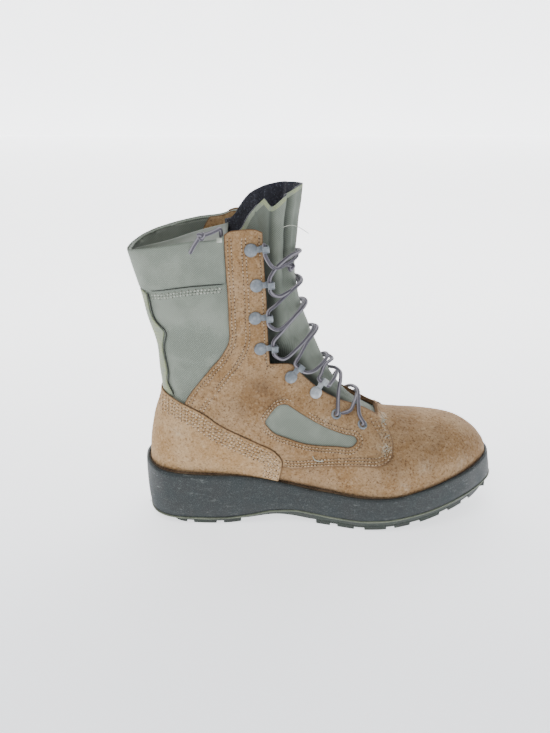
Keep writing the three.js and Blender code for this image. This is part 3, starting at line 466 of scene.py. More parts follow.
THROAT = Edge((
    (0.337, 2.6), (0.337, 1.95), (0.346, 1.64), (0.351, 1.42), (0.355, 1.32), (0.413, 1.307), (0.442, 1.247),
    (0.5, 1.147), (0.54, 1.099), (0.59, 1.051), (0.653, 0.965), (0.664, 1.05), (0.8, 2.6),
), corner=45)
COLLAR = {
    Side.OUTER: over((
        (-0.1, 1.81), (-0.014, 1.85), (0.012, 1.865), (0.082, 1.896), (0.159, 1.926), (0.24, 1.95),
        (0.251, 1.966), (0.283, 1.976), (0.32, 1.974), (0.345, 1.95),
    )),
    Side.INNER: over((
        (-0.1, 1.81), (-0.014, 1.85), (0.012, 1.876), (0.082, 1.922), (0.159, 1.956), (0.24, 1.982),
        (0.251, 1.992), (0.283, 2), (0.32, 1.996), (0.345, 1.97),
    )),
}
COUNTER = Edge((
    (-0.05, 1.142), (0.066, 1.138), (0.09, 1.13), (0.126, 1.109), (0.168, 1.075), (0.222, 1.005),
    (0.314, 0.847), (0.37, 0.745), (0.389, 0.655), (0.387, 0.57), (0.37, 0.3), (-0.05, 0.3),
))
QUARTER = Edge((
    (0.243, 2.4), (0.244, 1.88), (0.25, 1.55), (0.248, 1.436), (0.233, 1.382), (0.195, 1.292), (0.128, 1.112),
    (0.1, 0.9), (0.38, 0.6), (0.405, 0.587), (0.497, 0.608), (0.587, 0.636), (0.665, 0.652), (0.684, 0.688),
    (0.691, 0.752), (0.69, 0.825), (0.683, 0.87), (0.666, 0.95), (0.664, 2.4),
))
VENT = Edge((
    (0.34, 1.018), (0.363, 1.075), (0.382, 1.107), (0.399, 1.107), (0.417, 1.084), (0.462, 1.026),
    (0.514, 0.949), (0.561, 0.89), (0.585, 0.869), (0.593, 0.84), (0.582, 0.802), (0.535, 0.8),
    (0.483, 0.811), (0.444, 0.834), (0.405, 0.88), (0.366, 0.935),
), corner=70)
BACK_STAY = Edge((
    (-0.05, 1.66), (0.035, 1.66), (0.052, 1.52), (0.08, 1.47), (0.071, 1.38), (0.08, 1.25), (0.078, 1.19),
    (0.094, 1.14), (0.09, 1.1), (-0.05, 1.1),
))
CUFF = Edge(((-0.1, 1.66), (0.046, 1.672), (0.142, 1.712), (0.2405, 1.733), (0.2405, 2.5), (-0.1, 2.5)))
TONGUE_TOP = {
    Side.OUTER: over((
        (0.15, 1.9), (0.256, 1.94), (0.283, 1.965), (0.3, 2.02), (0.342, 2.105), (0.361, 2.06), (0.41, 2.135),
        (0.6, 2.165),
    )),
    Side.INNER: over((
        (0.15, 1.93), (0.256, 1.97), (0.283, 2.05), (0.3, 2.09), (0.342, 2.135), (0.361, 2.145),
        (0.41, 2.155), (0.6, 2.165),
    )),
}
RIDGE_Y = 0.085 * BALL_WIDTH


def inside(edge: Edge, margin: float = 0.0) -> Field:
    """Keeps what lies inside an edge that is seen from the side, and a margin round it."""
    return lambda p: edge.depth(p[..., 0], p[..., 2]) + margin


def outside(edge: Edge) -> Field:
    """Keeps what lies outside an edge that is seen from the side."""
    return lambda p: -edge.depth(p[..., 0], p[..., 2])


def below(edges: dict[Side, Edge], drop: float = 0.0) -> Field:
    """Keeps what lies under an edge that differs between the two sides.

    Args:
        edges: the edge of each side.
        drop: how far the edge is lowered.

    Returns:
        How far under the edge points of the form are.
    """
    outer, inner = edges[Side.OUTER], edges[Side.INNER]

    def depth(p: Array) -> Array:
        """How far under the edge points are, blended over the middle."""
        x, z = p[..., 0], p[..., 2] + drop
        share = smoothstep(-6, 6, p[..., 1])
        return -(outer.depth(x, z) * (1 - share) + inner.depth(x, z) * share)

    return depth


def over_rim(drop: float) -> Field:
    """Keeps what stands above the rubber wall's edge, less a hidden margin."""
    return lambda p: p[..., 2] - SIDE.rim(p[..., 0]) + drop


def one_side(side: Side, gap: float = 0.15) -> Field:
    """Keeps one side of the line where the quarters meet."""
    return lambda p: side.value * (p[..., 1] - RIDGE_Y) - gap


@dataclass(frozen=True)
class Fold:
    """A soft trough, or a ridge where its depth is negative, along a line seen from the side.

    Attributes:
        start: x and z of one end.
        end: x and z of the other end.
        width: half the width of the trough.
        depth: how deep it is in the middle.
        side: the side of the boot that it lies on.
    """

    start: tuple[float, float]
    end: tuple[float, float]
    width: float
    depth: float
    side: Side = Side.BOTH

    def sink(self, p: Array) -> Array:
        """How far the surface sinks at points of the form.

        Args:
            p: the points.

        Returns:
            Depths in millimetres.
        """
        start, end = np.array(self.start), np.array(self.end)
        along = end - start
        q = p[..., [0, 2]] - start
        t = (q @ along) / (along @ along)
        across = (q[..., 0] * along[1] - q[..., 1] * along[0]) / np.linalg.norm(along)
        taper = np.exp(-np.maximum(np.abs(t - 0.5) - 0.32, 0) ** 2 / 0.02)
        amount = self.depth * taper * np.exp(-((across / self.width) ** 2))
        if self.side is Side.BOTH:
            return amount
        return amount * smoothstep(-5, 5, self.side.value * p[..., 1])


FOLDS = (
    # the ankle's creases, fanning out from the foot of the throat
    Fold((92, 138), (128, 122), 7, 1.5, Side.OUTER),
    Fold((86, 128), (120, 108), 6, 1.1, Side.OUTER),
    Fold((99, 152), (120, 141), 5, 1.0, Side.OUTER),
    Fold((74, 118), (104, 92), 8, -1.2, Side.OUTER),
    Fold((118, 116), (146, 104), 7, -1.0, Side.OUTER),
    # soft bends of the cloth behind the eyestay
    Fold((28, 150), (72, 147), 2.0, 1.5, Side.OUTER),
    Fold((30, 168), (60, 182), 9, 1.3, Side.OUTER),
    Fold((40, 190), (70, 200), 10, -1.0, Side.OUTER),
    Fold((34, 128), (56, 138), 7, 1.4, Side.OUTER),
    Fold((22, 232), (60, 238), 9, 0.9, Side.OUTER),
    Fold((48, 120), (66, 132), 6, -1.1, Side.OUTER),
    # where the toe bends
    Fold((196, 86), (214, 60), 8, 1.1, Side.OUTER),
    Fold((206, 84), (228, 58), 7, 0.8, Side.OUTER),
    Fold((186, 52), (212, 46), 6, 0.7, Side.OUTER),
    Fold((196, 88), (212, 62), 8, 1.0, Side.INNER),
    Fold((90, 135), (124, 118), 8, 1.6, Side.INNER),
    Fold((34, 150), (74, 144), 6, 1.4, Side.INNER),
    Fold((30, 180), (70, 190), 9, 1.2, Side.INNER),
)


def creases(p: Array) -> Array:
    """How far the listed folds sink the surface."""
    return sum((fold.sink(p) for fold in FOLDS), np.zeros(p.shape[:-1]))


def lumps(p: Array, size: float, seed: int) -> Array:
    """Broad unevenness between -1 and 1, the same each run."""
    picker = np.random.default_rng(seed)
    total = np.zeros(p.shape[:-1])
    for _ in range(7):
        way = picker.normal(size=3)
        way /= np.linalg.norm(way)
        total += np.sin(p @ way * (2 * math.pi / (size * picker.uniform(0.7, 1.6))) + picker.uniform(0, 6.28))
    return total / 4


def linear(code: str) -> tuple[float, float, float, float]:
    """Turns an sRGB hex colour into linear light."""
    parts = [int(code[k:k + 2], 16) / 255 for k in (1, 3, 5)]
    return (*(c / 12.92 if c <= 0.04045 else ((c + 0.055) / 1.055) ** 2.4 for c in parts), 1.0)


def add_node(
    tree: bpy.types.NodeTree, kind: str, inputs: dict[str | int, object] | None = None, **settings: object,
) -> bpy.types.Node:
    """Adds a node with its settings and links.

    Args:
        tree: the material's node tree.
        kind: the node's type.
        inputs: for each socket a value, or the output that is linked to it.
        settings: the node's own properties.

    Returns:
        The node.
    """
    node = tree.nodes.new(kind)
    for name, value in settings.items():
        setattr(node, name, value)
    for name, value in (inputs or {}).items():
        if isinstance(value, bpy.types.NodeSocket):
            tree.links.new(value, node.inputs[name])
        else:
            node.inputs[name].default_value = value
    return node


class Dresser:
    """Starts a material's tree and joins the usual steps of its pattern."""

    def __init__(self, name: str) -> None:
        """Makes an empty material with a surface shader.

        Args:
            name: the finish's own name.
        """
        self.material = bpy.data.materials.new(name)
        self.material.use_nodes = True
        self.tree = self.material.node_tree
        self.tree.nodes.clear()
        self.surface = self.add("ShaderNodeBsdfPrincipled")
        self.add("ShaderNodeOutputMaterial", {"Surface": self.surface.outputs[0]})
        self.place = self.add("ShaderNodeTexCoord").outputs

    def add(
        self, kind: str, inputs: dict[str | int, object] | None = None, **settings: object,
    ) -> bpy.types.Node:
        """Adds a node to this material's tree."""
        return add_node(self.tree, kind, inputs, **settings)

    def mapped(self, source: str, **change: tuple[float, float, float]) -> object:
        """Turns or stretches the coordinates that a pattern is laid in."""
        return self.add("ShaderNodeMapping", {"Vector": self.place[source], **change}).outputs[0]

    def noise(self, size: float, detail: float = 3, roughness: float = 0.55, vector: object = None) -> object:
        """Cloudy noise whose lumps are a size in millimetres."""
        inputs = {"Vector": vector or self.place["Object"], "Scale": 1 / (size * MM), "Detail": detail}
        return self.add("ShaderNodeTexNoise", {**inputs, "Roughness": roughness}).outputs["Fac"]

    def wave(
        self, vector: object, pitch: float, distortion: float, detail: float = 2.0, direction: str = "X",
    ) -> object:
        """Ribs that lie a pitch apart, in the unit of the vector."""
        inputs = {"Vector": vector, "Scale": WAVE_PITCH / pitch, "Distortion": distortion, "Detail": detail}
        return self.add("ShaderNodeTexWave", inputs, bands_direction=direction).outputs["Fac"]

    def ramp(self, value: object, low: float, high: float, start: float = 0, end: float = 1) -> object:
        """Turns the range from low to high into start to end, smoothly."""
        inputs = {"Value": value, "From Min": low, "From Max": high, "To Min": start, "To Max": end}
        return self.add("ShaderNodeMapRange", inputs, interpolation_type="SMOOTHSTEP").outputs[0]

    def mix(self, share: object, low: object, high: object, blend: str = "MIX") -> object:
        """Blends two colours, given as hex codes or outputs."""
        pair = [linear(c) if isinstance(c, str) else c for c in (low, high)]
        inputs = {0: share, 6: pair[0], 7: pair[1]}
        return self.add("ShaderNodeMix", inputs, data_type="RGBA", blend_type=blend).outputs[2]

    def sum(self, first: object, second: object, operation: str = "ADD") -> object:
        """Joins two values by one step of arithmetic."""
        return self.add("ShaderNodeMath", {0: first, 1: second}, operation=operation).outputs[0]

    def weigh(self, first: object, second: object, share: float) -> object:
        """Adds a share of the first value to the rest of the second."""
        return self.sum(self.sum(first, share, "MULTIPLY"), self.sum(second, 1 - share, "MULTIPLY"))

    def attribute(self, name: str) -> object:
        """Reads a value that the mesh carries."""
        return self.add("ShaderNodeAttribute", attribute_name=name).outputs["Fac"]

    def finish(
        self, colour: object, roughness: object, height: object, depth: float, **constants: float,
    ) -> bpy.types.Material:
        """Links the colour, roughness and relief, and sets the constants.

        Args:
            colour: hex code or output for the base colour.
            roughness: number or output.
            height: output for the relief, from 0 to 1.
            depth: the relief's height in millimetres.
            constants: other sockets, with spaces written as underscores.

        Returns:
            The material.
        """
        bump = self.add("ShaderNodeBump", {"Height": height, "Distance": depth * MM, "Strength": 1.0})
        values = {"Base Color": linear(colour) if isinstance(colour, str) else colour, "Roughness": roughness}
        for name, value in {**values, "Normal": bump.outputs[0]}.items():
            if isinstance(value, bpy.types.NodeSocket):
                self.tree.links.new(value, self.surface.inputs[name])
            else:
                self.surface.inputs[name].default_value = value
        for name, value in constants.items():
            self.surface.inputs[name.replace("_", " ")].default_value = value
        return self.material


@dataclass(frozen=True)
class Suede:
    """Rough-out cowhide: a short matt nap that goes dark where it is brushed flat and pale where it is
    rubbed; its cut edges are dark, and this also paints the soft shadow along them.
    """

    name: str = "rough_out_cowhide"
    base: str = "#9A7954"
    light: str = "#C2A684"
    dark: str = "#5F4834"
    cut_edge_shade: str = "#5E4732"
    rubbed: str = "#D9C9B0"

    def material(self) -> bpy.types.Material:
        """Nap, broad stains, rubbed patches and a dark cut edge that also paints the shadow along it."""
        d = Dresser(self.name)
        nap = d.noise(2.0, 5, 0.78)
        tuft = d.noise(4.2, 4, 0.65)
        stain = d.noise(26, 4, 0.6)
        colour = d.mix(d.ramp(stain, 0.34, 0.66), self.base, d.mix(0.45, self.base, self.light))
        colour = d.mix(d.ramp(tuft, 0.48, 0.7, 0, 0.5), colour, self.light)
        colour = d.mix(d.ramp(nap, 0.54, 0.68, 0, 0.75), colour, self.light)
        colour = d.mix(d.ramp(nap, 0.5, 0.34, 0, 0.85), colour, self.dark)
        patch = d.sum(d.attribute("nap"), d.ramp(d.noise(9, 4, 0.7), 0.3, 0.7, 0.35, 1.25), "MULTIPLY")
        colour = d.mix(patch, colour, self.dark)
        # dark cut edge, partly painted shade: the soft shadow along the leather's edges is painted here too
        colour = d.mix(d.ramp(d.attribute("edge"), 1.1, 0.25, 0, 0.75), colour, self.cut_edge_shade)
        rub = d.sum(d.attribute("rub"), d.ramp(d.noise(3.5, 3, 0.7), 0.42, 0.62), "MULTIPLY")
        colour = d.mix(rub, colour, self.rubbed)
        return d.finish(
            colour, d.ramp(stain, 0.3, 0.7, 0.9, 0.98), d.weigh(nap, tuft, 0.6), 0.35,
            Sheen_Weight=0.06, Sheen_Roughness=0.5, Specular_IOR_Level=0.15,
        )


@dataclass(frozen=True)
class Twill:
    """Coated nylon twill: fine ribs that rise to the right, with a faint dry gloss on their crowns."""

    name: str = "nylon_twill"
    base: str = "#8B9387"
    light: str = "#A4AB9E"
    dark: str = "#5C645A"
    shadow: str = "#242823"
    pitch: float = 1.2
    rib_angle: float = -52.0
    weft_angle: float = 40.0

    def material(self) -> bpy.types.Material:
        """Diagonal ribs, drawn a little coarser than the real 0.8 mm so that they show."""
        d = Dresser(self.name)
        rib = d.wave(d.mapped("UV", Rotation=(0, 0, math.radians(self.rib_angle))), self.pitch, 0.7, 1.0)
        weft = d.wave(d.mapped("UV", Rotation=(0, 0, math.radians(self.weft_angle))), self.pitch * 0.8, 0.5)
        fade = d.noise(30, 3, 0.5)
        weave = d.weigh(rib, weft, 0.7)
        colour = d.mix(d.ramp(weave, 0.15, 0.75, 0.4, 1), self.dark, self.base)
        colour = d.mix(d.ramp(fade, 0.38, 0.66, 0, 0.45), colour, self.light)
        colour = d.mix(d.ramp(d.noise(1.4, 2, 0.6), 0.6, 0.8, 0, 0.3), colour, self.light)
        # darker within 2.4 mm of a cut edge: dirt and painted contact shade where the cloth meets other
        # layers
        colour = d.mix(d.ramp(d.attribute("edge"), 2.4, 0.3, 0, 0.35), colour, self.dark)
        # painted shade: the deep value darkens the tongue's gutters and pleats and the slack lining's fold
        # towards the shadow colour
        colour = d.mix(d.sum(d.attribute("deep"), 0.78, "MULTIPLY"), colour, self.shadow)
        return d.finish(
            colour, 0.82, weave, 0.14, Sheen_Weight=0.12, Sheen_Roughness=0.5, Specular_IOR_Level=0.3,
        )


@dataclass(frozen=True)
class Rubber:
    """Moulded rubber: a satin skin with pale scuffs, fine pale dust and fine moulding grain."""

    name: str = "moulded_rubber"
    base: str = "#283032"
    dark: str = "#1C2223"
    scuff: str = "#838B87"
    dust: float = 0.32

    def material(self) -> bpy.types.Material:
        """Grain, long scuffs and dust."""
        d = Dresser(self.name)
        streak = d.noise(2.2, 4, 0.65, d.mapped("Object", Scale=(0.25, 0.25, 1.0)))
        cloud = d.noise(17, 4, 0.6)
        grain = d.noise(0.7, 3, 0.6)
        colour = d.mix(d.ramp(cloud, 0.32, 0.68), self.dark, self.base)
        colour = d.mix(d.ramp(streak, 0.58, 0.74, 0, 0.4), colour, self.scuff)
        colour = d.mix(d.ramp(d.noise(5, 3, 0.7), 0.68, 0.78, 0, 0.45), colour, self.scuff)
        colour = d.mix(d.ramp(grain, 0.5, 0.72, 0, self.dust), colour, self.scuff)
        rough = d.ramp(cloud, 0.3, 0.7, 0.48, 0.66)
        return d.finish(colour, rough, d.weigh(grain, streak, 0.5), 0.12, Specular_IOR_Level=0.5)


@dataclass(frozen=True)
class Terry:
    """Looped lining cloth: dark wool-like loops with pale flecks."""

    name: str = "terry_lining"
    base: str = "#2A2C3A"
    fleck: str = "#767B8C"
    gap: str = "#15161F"
    loop_width: float = 1.3

    def material(self) -> bpy.types.Material:
        """Loops side by side, dark between them."""
        d = Dresser(self.name)
        loops = {"Vector": d.place["Object"], "Scale": 1 / (self.loop_width * MM), "Randomness": 1.0}
        loop = d.add("ShaderNodeTexVoronoi", loops).outputs["Distance"]
        fleck = d.noise(1.6, 4, 0.75)
        colour = d.mix(d.ramp(fleck, 0.53, 0.7), self.base, self.fleck)
        colour = d.mix(d.ramp(loop, 0.2, 0.75, 0, 0.6), colour, self.gap)
        relief = d.sum(1.0, loop, "SUBTRACT")
        return d.finish(colour, 0.95, relief, 0.6, Sheen_Weight=0.3, Sheen_Roughness=0.6)


@dataclass(frozen=True)
class Tape:
    """Woven binding tape: fine crosswise ribs, faded and worn pale in patches."""

    name: str = "woven_tape"
    base: str = "#A3AB88"
    dark: str = "#7C8466"
    faded: str = "#8F988A"
    worn: str = "#C3C9AE"
    pitch: float = 1.0

    def material(self) -> bpy.types.Material:
        """Ribs with faded and worn patches."""
        d = Dresser(self.name)
        rib = d.wave(d.place["Object"], self.pitch * MM, 1.5, direction="DIAGONAL")
        colour = d.mix(d.ramp(rib, 0.1, 0.9, 0.6, 1), self.dark, self.base)
        colour = d.mix(d.ramp(d.noise(9, 3, 0.6), 0.4, 0.6, 0, 0.8), colour, self.faded)
        colour = d.mix(d.ramp(d.noise(2.5, 3, 0.7), 0.55, 0.75, 0, 0.5), colour, self.worn)
        return d.finish(colour, 0.88, rib, 0.1, Sheen_Weight=0.2, Specular_IOR_Level=0.25)


@dataclass(frozen=True)
class Thread:
    """Bonded polyester sewing thread: a slight shine on each raised stitch."""

    name: str = "sewing_thread"
    base: str = "#D2BB9C"
    dark: str = "#9A7F60"

    def material(self) -> bpy.types.Material:
        """Stitches that differ a little from one another."""
        d = Dresser(self.name)
        shade = d.noise(5, 3, 0.6)
        twist = d.noise(0.4, 2, 0.6)
        colour = d.mix(d.ramp(shade, 0.35, 0.65), self.dark, self.base)
        return d.finish(colour, 0.6, twist, 0.08, Sheen_Weight=0.1, Specular_IOR_Level=0.4)


@dataclass(frozen=True)
class LacqueredSteel:
    """Stamped steel under grey lacquer, rubbed through to brighter metal in patches."""

    name: str = "lacquered_steel"
    base: str = "#7F868C"
    bare: str = "#A2A8AD"
    scratched: str = "#5C6368"
    metallic: float = 0.35

    def material(self) -> bpy.types.Material:
        """Blotched lacquer with fine scratches."""
        d = Dresser(self.name)
        blotch = d.noise(5.0, 3, 0.55)
        scratch = d.noise(0.6, 3, 0.7)
        colour = d.mix(d.ramp(blotch, 0.42, 0.7, 0, 0.8), self.base, self.bare)
        colour = d.mix(d.ramp(scratch, 0.62, 0.42, 0, 0.2), colour, self.scratched)
        rough = d.ramp(blotch, 0.35, 0.65, 0.5, 0.36)
        return d.finish(colour, rough, scratch, 0.05, Metallic=self.metallic)


@dataclass(frozen=True)
class Braid:
    """Round braided polyester cord: dark and pale yarns crossing along it."""

    name: str = "braided_cord"
    base: str = "#716E77"
    light: str = "#A19DA5"
    dark: str = "#47454C"
    yarn_pitch: float = 0.9
    yarn_lean: float = 0.9
    band_pitch: float = 3.14

    def material(self) -> bpy.types.Material:
        """Yarns laid both ways round the cord, in bands of two greys."""
        d = Dresser(self.name)
        spiral = []
        for lean in (self.yarn_lean, -self.yarn_lean):
            spiral.append(d.wave(d.mapped("UV", Rotation=(0, 0, lean)), self.yarn_pitch, 0.3))
        yarn = d.sum(spiral[0], spiral[1], "MAXIMUM")
        band = d.wave(d.place["UV"], self.band_pitch, 0.8, 1.0, "Y")
        colour = d.mix(d.ramp(yarn, 0.3, 0.95, 0.35, 1), self.dark, self.base)
        colour = d.mix(d.ramp(band, 0.62, 0.86, 0, 0.85), colour, self.light)
        colour = d.mix(d.ramp(band, 0.3, 0.12, 0, 0.5), colour, self.dark)
        return d.finish(colour, 0.8, yarn, 0.2, Sheen_Weight=0.15, Specular_IOR_Level=0.3)


@dataclass(frozen=True)
class Studio:
    """A pale paper sweep, a camera where the photograph's stood and large soft lights."""

    lens: float = 39.04
    tilt: float = 22.5
    eye: tuple[float, float, float] = (-0.03884, -0.6399, 0.4004)
    aim: tuple[float, float, float] = (0, 0, 0.12)
    paper: float = 4.0
    backdrop: float = 3.9
    backdrop_away: float = 3.0

    def build(self) -> None:
        """Makes the camera first, then the floor and the lights."""
        data = bpy.data.cameras.new("camera")
        data.lens = self.lens
        data.sensor_fit = "AUTO"
        data.sensor_width = 36
        data.clip_start = 0.01
        camera = bpy.data.objects.new("camera", data)
        camera.location = self.eye
        camera.rotation_euler = (math.radians(90 - self.tilt), 0, 0)
        bpy.context.collection.objects.link(camera)
        bpy.context.scene.camera = camera
        self._floor()
        self._light("key", (-0.45, -0.65, 1.35), 0.9, 10.5, (1.0, 0.985, 0.96))
        self._light("fill", (0.9, -0.9, 0.7), 1.0, 2.2, (0.93, 0.96, 1.0))
        self._light("back", (0.3, 0.9, 1.1), 1.2, 5.0, (0.97, 0.98, 1.0))
        world = bpy.data.worlds.new("studio")
        world.use_nodes = True
        sky = world.node_tree.nodes["Background"].inputs
        sky["Color"].default_value = linear("#E9EDF2")
        sky["Strength"].default_value = 0.34
        bpy.context.scene.world = world

    def _floor(self) -> None:
        """Lays the paper and hangs the rest of it far behind the boot; both glow as painted light, dim near
        the boot and bright far behind it.
        """
        bm = bmesh.new()
        bmesh.ops.create_grid(bm, x_segments=1, y_segments=1, size=self.paper)
        wall = bmesh.ops.create_grid(bm, x_segments=1, y_segments=1, size=self.backdrop)["verts"]
        bmesh.ops.rotate(bm, matrix=Matrix.Rotation(math.radians(90), 3, "X"), verts=wall)
        bmesh.ops.translate(bm, vec=(0, self.backdrop_away, 0), verts=wall)
        mesh = bpy.data.meshes.new("floor")
        bm.to_mesh(mesh)
        bm.free()
        floor = bpy.data.objects.new("floor", mesh)
        bpy.context.collection.objects.link(floor)
        d = Dresser("glowing_paper")
        tone = d.mix(d.ramp(d.noise(260, 2, 0.5), 0.3, 0.7), "#F1F3F7", "#F7F8FB")
        away = d.add("ShaderNodeSeparateXYZ", {0: d.place["Object"]}).outputs["Y"]
        # painted light: the paper glows, more strongly the farther it lies behind the boot
        glow = d.mix(d.ramp(away, -0.45, 0.6), "#A9ABB0", "#FFFFFF")
        d.tree.links.new(glow, d.surface.inputs["Emission Color"])
        mesh.materials.append(d.finish(tone, 0.8, d.noise(1.2, 2, 0.5), 0.02, Emission_Strength=2.4))

    def _light(
        self, name: str, place: tuple[float, float, float], size: float, power: float, tint: Sequence[float],
    ) -> None:
        """Hangs one soft light that faces the boot.

        Args:
            name: the lamp's name.
            place: where it hangs.
            size: its width.
            power: its strength in watts.
            tint: its colour.
        """
        data = bpy.data.lights.new(name, "AREA")
        data.size = size
        data.energy = power
        data.color = tint
        light = bpy.data.objects.new(name, data)
        light.location = place
        light.rotation_euler = (Vector(self.aim) - Vector(place)).to_track_quat("-Z", "Y").to_euler()
        bpy.context.collection.objects.link(light)


def add_piece(
    name: str, bm: bmesh.types.BMesh, materials: Sequence[bpy.types.Material],
    replaces: Sequence[str] = (), smooth: bool = True,
) -> bpy.types.Object:
    """Puts a finished mesh into the scene, in the row's frame.

    Args:
        name: the piece's name.
        bm: its mesh in millimetres, which is freed.
        materials: its finishes, first one first.
        replaces: the solids that it stands for.
        smooth: whether its faces are shaded smoothly.

    Returns:
        The object.
    """
    bmesh.ops.transform(bm, matrix=Matrix.Scale(MM, 4) @ Matrix.Translation(-Vector(ORIGIN)), verts=bm.verts)
    if bm.verts.layers.float.get("edge") is None:
        edge = bm.verts.layers.float.new("edge")
        for vert in bm.verts:
            vert[edge] = FAR_IN
    for face in bm.faces:
        face.smooth = smooth
    mesh = bpy.data.meshes.new(name)
    bm.to_mesh(mesh)
    bm.free()
    for material in materials:
        mesh.materials.append(material)
    piece = bpy.data.objects.new(name, mesh)
    bpy.context.collection.objects.link(piece)
    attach(piece, BODY)
    if replaces:
        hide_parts(*replaces)
    LOG.info("%s: %d faces", name, len(mesh.polygons))
    return piece


def thicken(piece: bpy.types.Object, thickness: float, lining: int = 0, rim: int = 0) -> None:
    """Gives a sheet its thickness, inwards, with other finishes on its inside and rim."""
    wall = piece.modifiers.new("thickness", "SOLIDIFY")
    wall.thickness = thickness * MM
    wall.offset = -1
    wall.material_offset = lining
    wall.material_offset_rim = rim


def lay_cloth(
    bm: bmesh.types.BMesh, name: str, place: Callable[[bmesh.types.BMVert], Sequence[float]],
) -> None:
    """Writes where each vertex lies on the flat cloth, in millimetres, as a UV map."""
    uv = bm.loops.layers.uv.new(name)
    for face in bm.faces:
        for loop in face.loops:
            loop[uv].uv = place(loop.vert)


def fill_holes(bm: bmesh.types.BMesh) -> None:
    """Closes every open rim with one face."""
    bmesh.ops.holes_fill(bm, edges=[edge for edge in bm.edges if edge.is_boundary], sides=0)


def round_off(
    bm: bmesh.types.BMesh, edges: Sequence[bmesh.types.BMEdge], offset: float, clamp: bool = True,
) -> None:
    """Rounds edges with two facets each."""
    bmesh.ops.bevel(
        bm, geom=edges, offset=offset, segments=2, profile=0.5, material=-1, affect="EDGES",
        clamp_overlap=clamp,
    )


def cut_sheet(bm: bmesh.types.BMesh, value: Array, drop: bool) -> None:
    """Splits a flat sheet along the line where a value is zero.

    Args:
        bm: the sheet.
        value: one number for each vertex.
        drop: whether what lies below zero is taken away.
    """
    value = np.where(np.abs(value) < 1e-3, 1e-3, value)
    verts = list(bm.verts)
    bm.verts.index_update()
    crossed = []
    for edge in bm.edges:
        first, second = edge.verts
        here, there = value[first.index], value[second.index]
        if here * there < 0:
            crossed.append((edge, first, here / (here - there)))
    made = [bmesh.utils.edge_split(edge, first, share)[1] for edge, first, share in crossed]
    bmesh.ops.connect_verts(bm, verts=made)
    if drop:
        gone = [vert for vert, amount in zip(verts, value) if amount < 0]
        bmesh.ops.delete(bm, geom=gone, context="VERTS")


@dataclass
class Panel:
    """A sheet cut to edges that are seen from the side, laid on the last.

    Attributes:
        last: the form that it lies on.
        places: first and last place between the sections.
        shares: first and last share of the half girth, outer side positive.
        keep: fields that are positive inside the sheet.
        grow: how far its outside stands off the form.
        roll: how far in from its edge it starts to roll down.
        sunk: how far its very edge is rolled down.
        cell: size of a cell of its mesh.
        from_side: whether its cloth pattern is laid from the side, not round the last.
    """

    last: Last
    places: tuple[float, float]
    shares: tuple[float, float]
    keep: tuple[Field, ...]
    grow: float
    roll: float = 0.8
    sunk: float = 0.5
    cell: float = 2.0
    from_side: bool = False

    PLACE_LENGTH = 13.5  # usual distance between two sections
    GIRTH_LENGTH = 135.0  # usual length of half a section

    def build(
        self, relief: Field | None = None, paint: dict[str, Field] | None = None,
    ) -> bmesh.types.BMesh:
        """Cuts the sheet flat, then lays it on the form.

        Args:
            relief: how far the surface sinks at points of the form.
            paint: values from 0 to 1 that the finish reads, by name.

        Returns:
            The mesh in millimetres.
        """
        bm = bmesh.new()
        rows = max(4, round((self.places[1] - self.places[0]) * self.PLACE_LENGTH / self.cell))
        columns = max(4, round((self.shares[1] - self.shares[0]) * self.GIRTH_LENGTH / self.cell))
        bmesh.ops.create_grid(bm, x_segments=rows, y_segments=columns, size=1.0)
        for vert in bm.verts:
            place = self.places[0] + (self.places[1] - self.places[0]) * (vert.co.x + 1) / 2
            share = self.shares[0] + (self.shares[1] - self.shares[0]) * (vert.co.y + 1) / 2
            vert.co = (place, share, 0)
        for kept in self.keep:
            cut_sheet(bm, kept(self._flat(bm)[2]), drop=True)
        if self.keep and self.roll:
            cut_sheet(bm, self._depth(self._flat(bm)[2]) - self.roll, drop=False)
        self._lay(bm, relief, paint or {})
        return bm

    def _depth(self, p: Array) -> Array:
        """How far inside the sheet's nearest edge points are."""
        return np.minimum.reduce([kept(p) for kept in self.keep])

    def _flat(self, bm: bmesh.types.BMesh) -> tuple[Array, Array, Array]:
        """Places, shares and points of the form for every vertex."""
        flat = np.array([vert.co[:2] for vert in bm.verts])
        return flat[:, 0], flat[:, 1], self.last.point(flat[:, 0], flat[:, 1])

    def _lay(self, bm: bmesh.types.BMesh, relief: Field | None, paint: dict[str, Field]) -> None:
        """Moves the flat sheet onto the form and writes what its finish reads.

        Args:
            bm: the flat sheet.
            relief: how far it sinks at points of the form.
            paint: what the finish reads besides the edge, by name.
        """
        place, share, base = self._flat(bm)
        depth = self._depth(base)
        near = np.clip(1 - depth / max(self.roll, 1e-6), 0, 1)
        grow = self.grow - self.sunk * near**2 - (relief(base) if relief else 0)
        points = self.last.grown(place, share, grow)
        around = points[:, 0] if self.from_side else share * self.last.girth(place, share > 0)
        layers = {name: bm.verts.layers.float.new(name) for name in ("edge", *paint)}
        values = {"edge": depth, **{name: value(base) for name, value in paint.items()}}
        bm.verts.index_update()
        for vert, point in zip(bm.verts, points):
            vert.co = point
            for name, layer in layers.items():
                vert[layer] = float(values[name][vert.index])
        lay_cloth(bm, "cloth", lambda vert: (around[vert.index], points[vert.index, 2]))
        bmesh.ops.remove_doubles(bm, verts=bm.verts, dist=0.004)


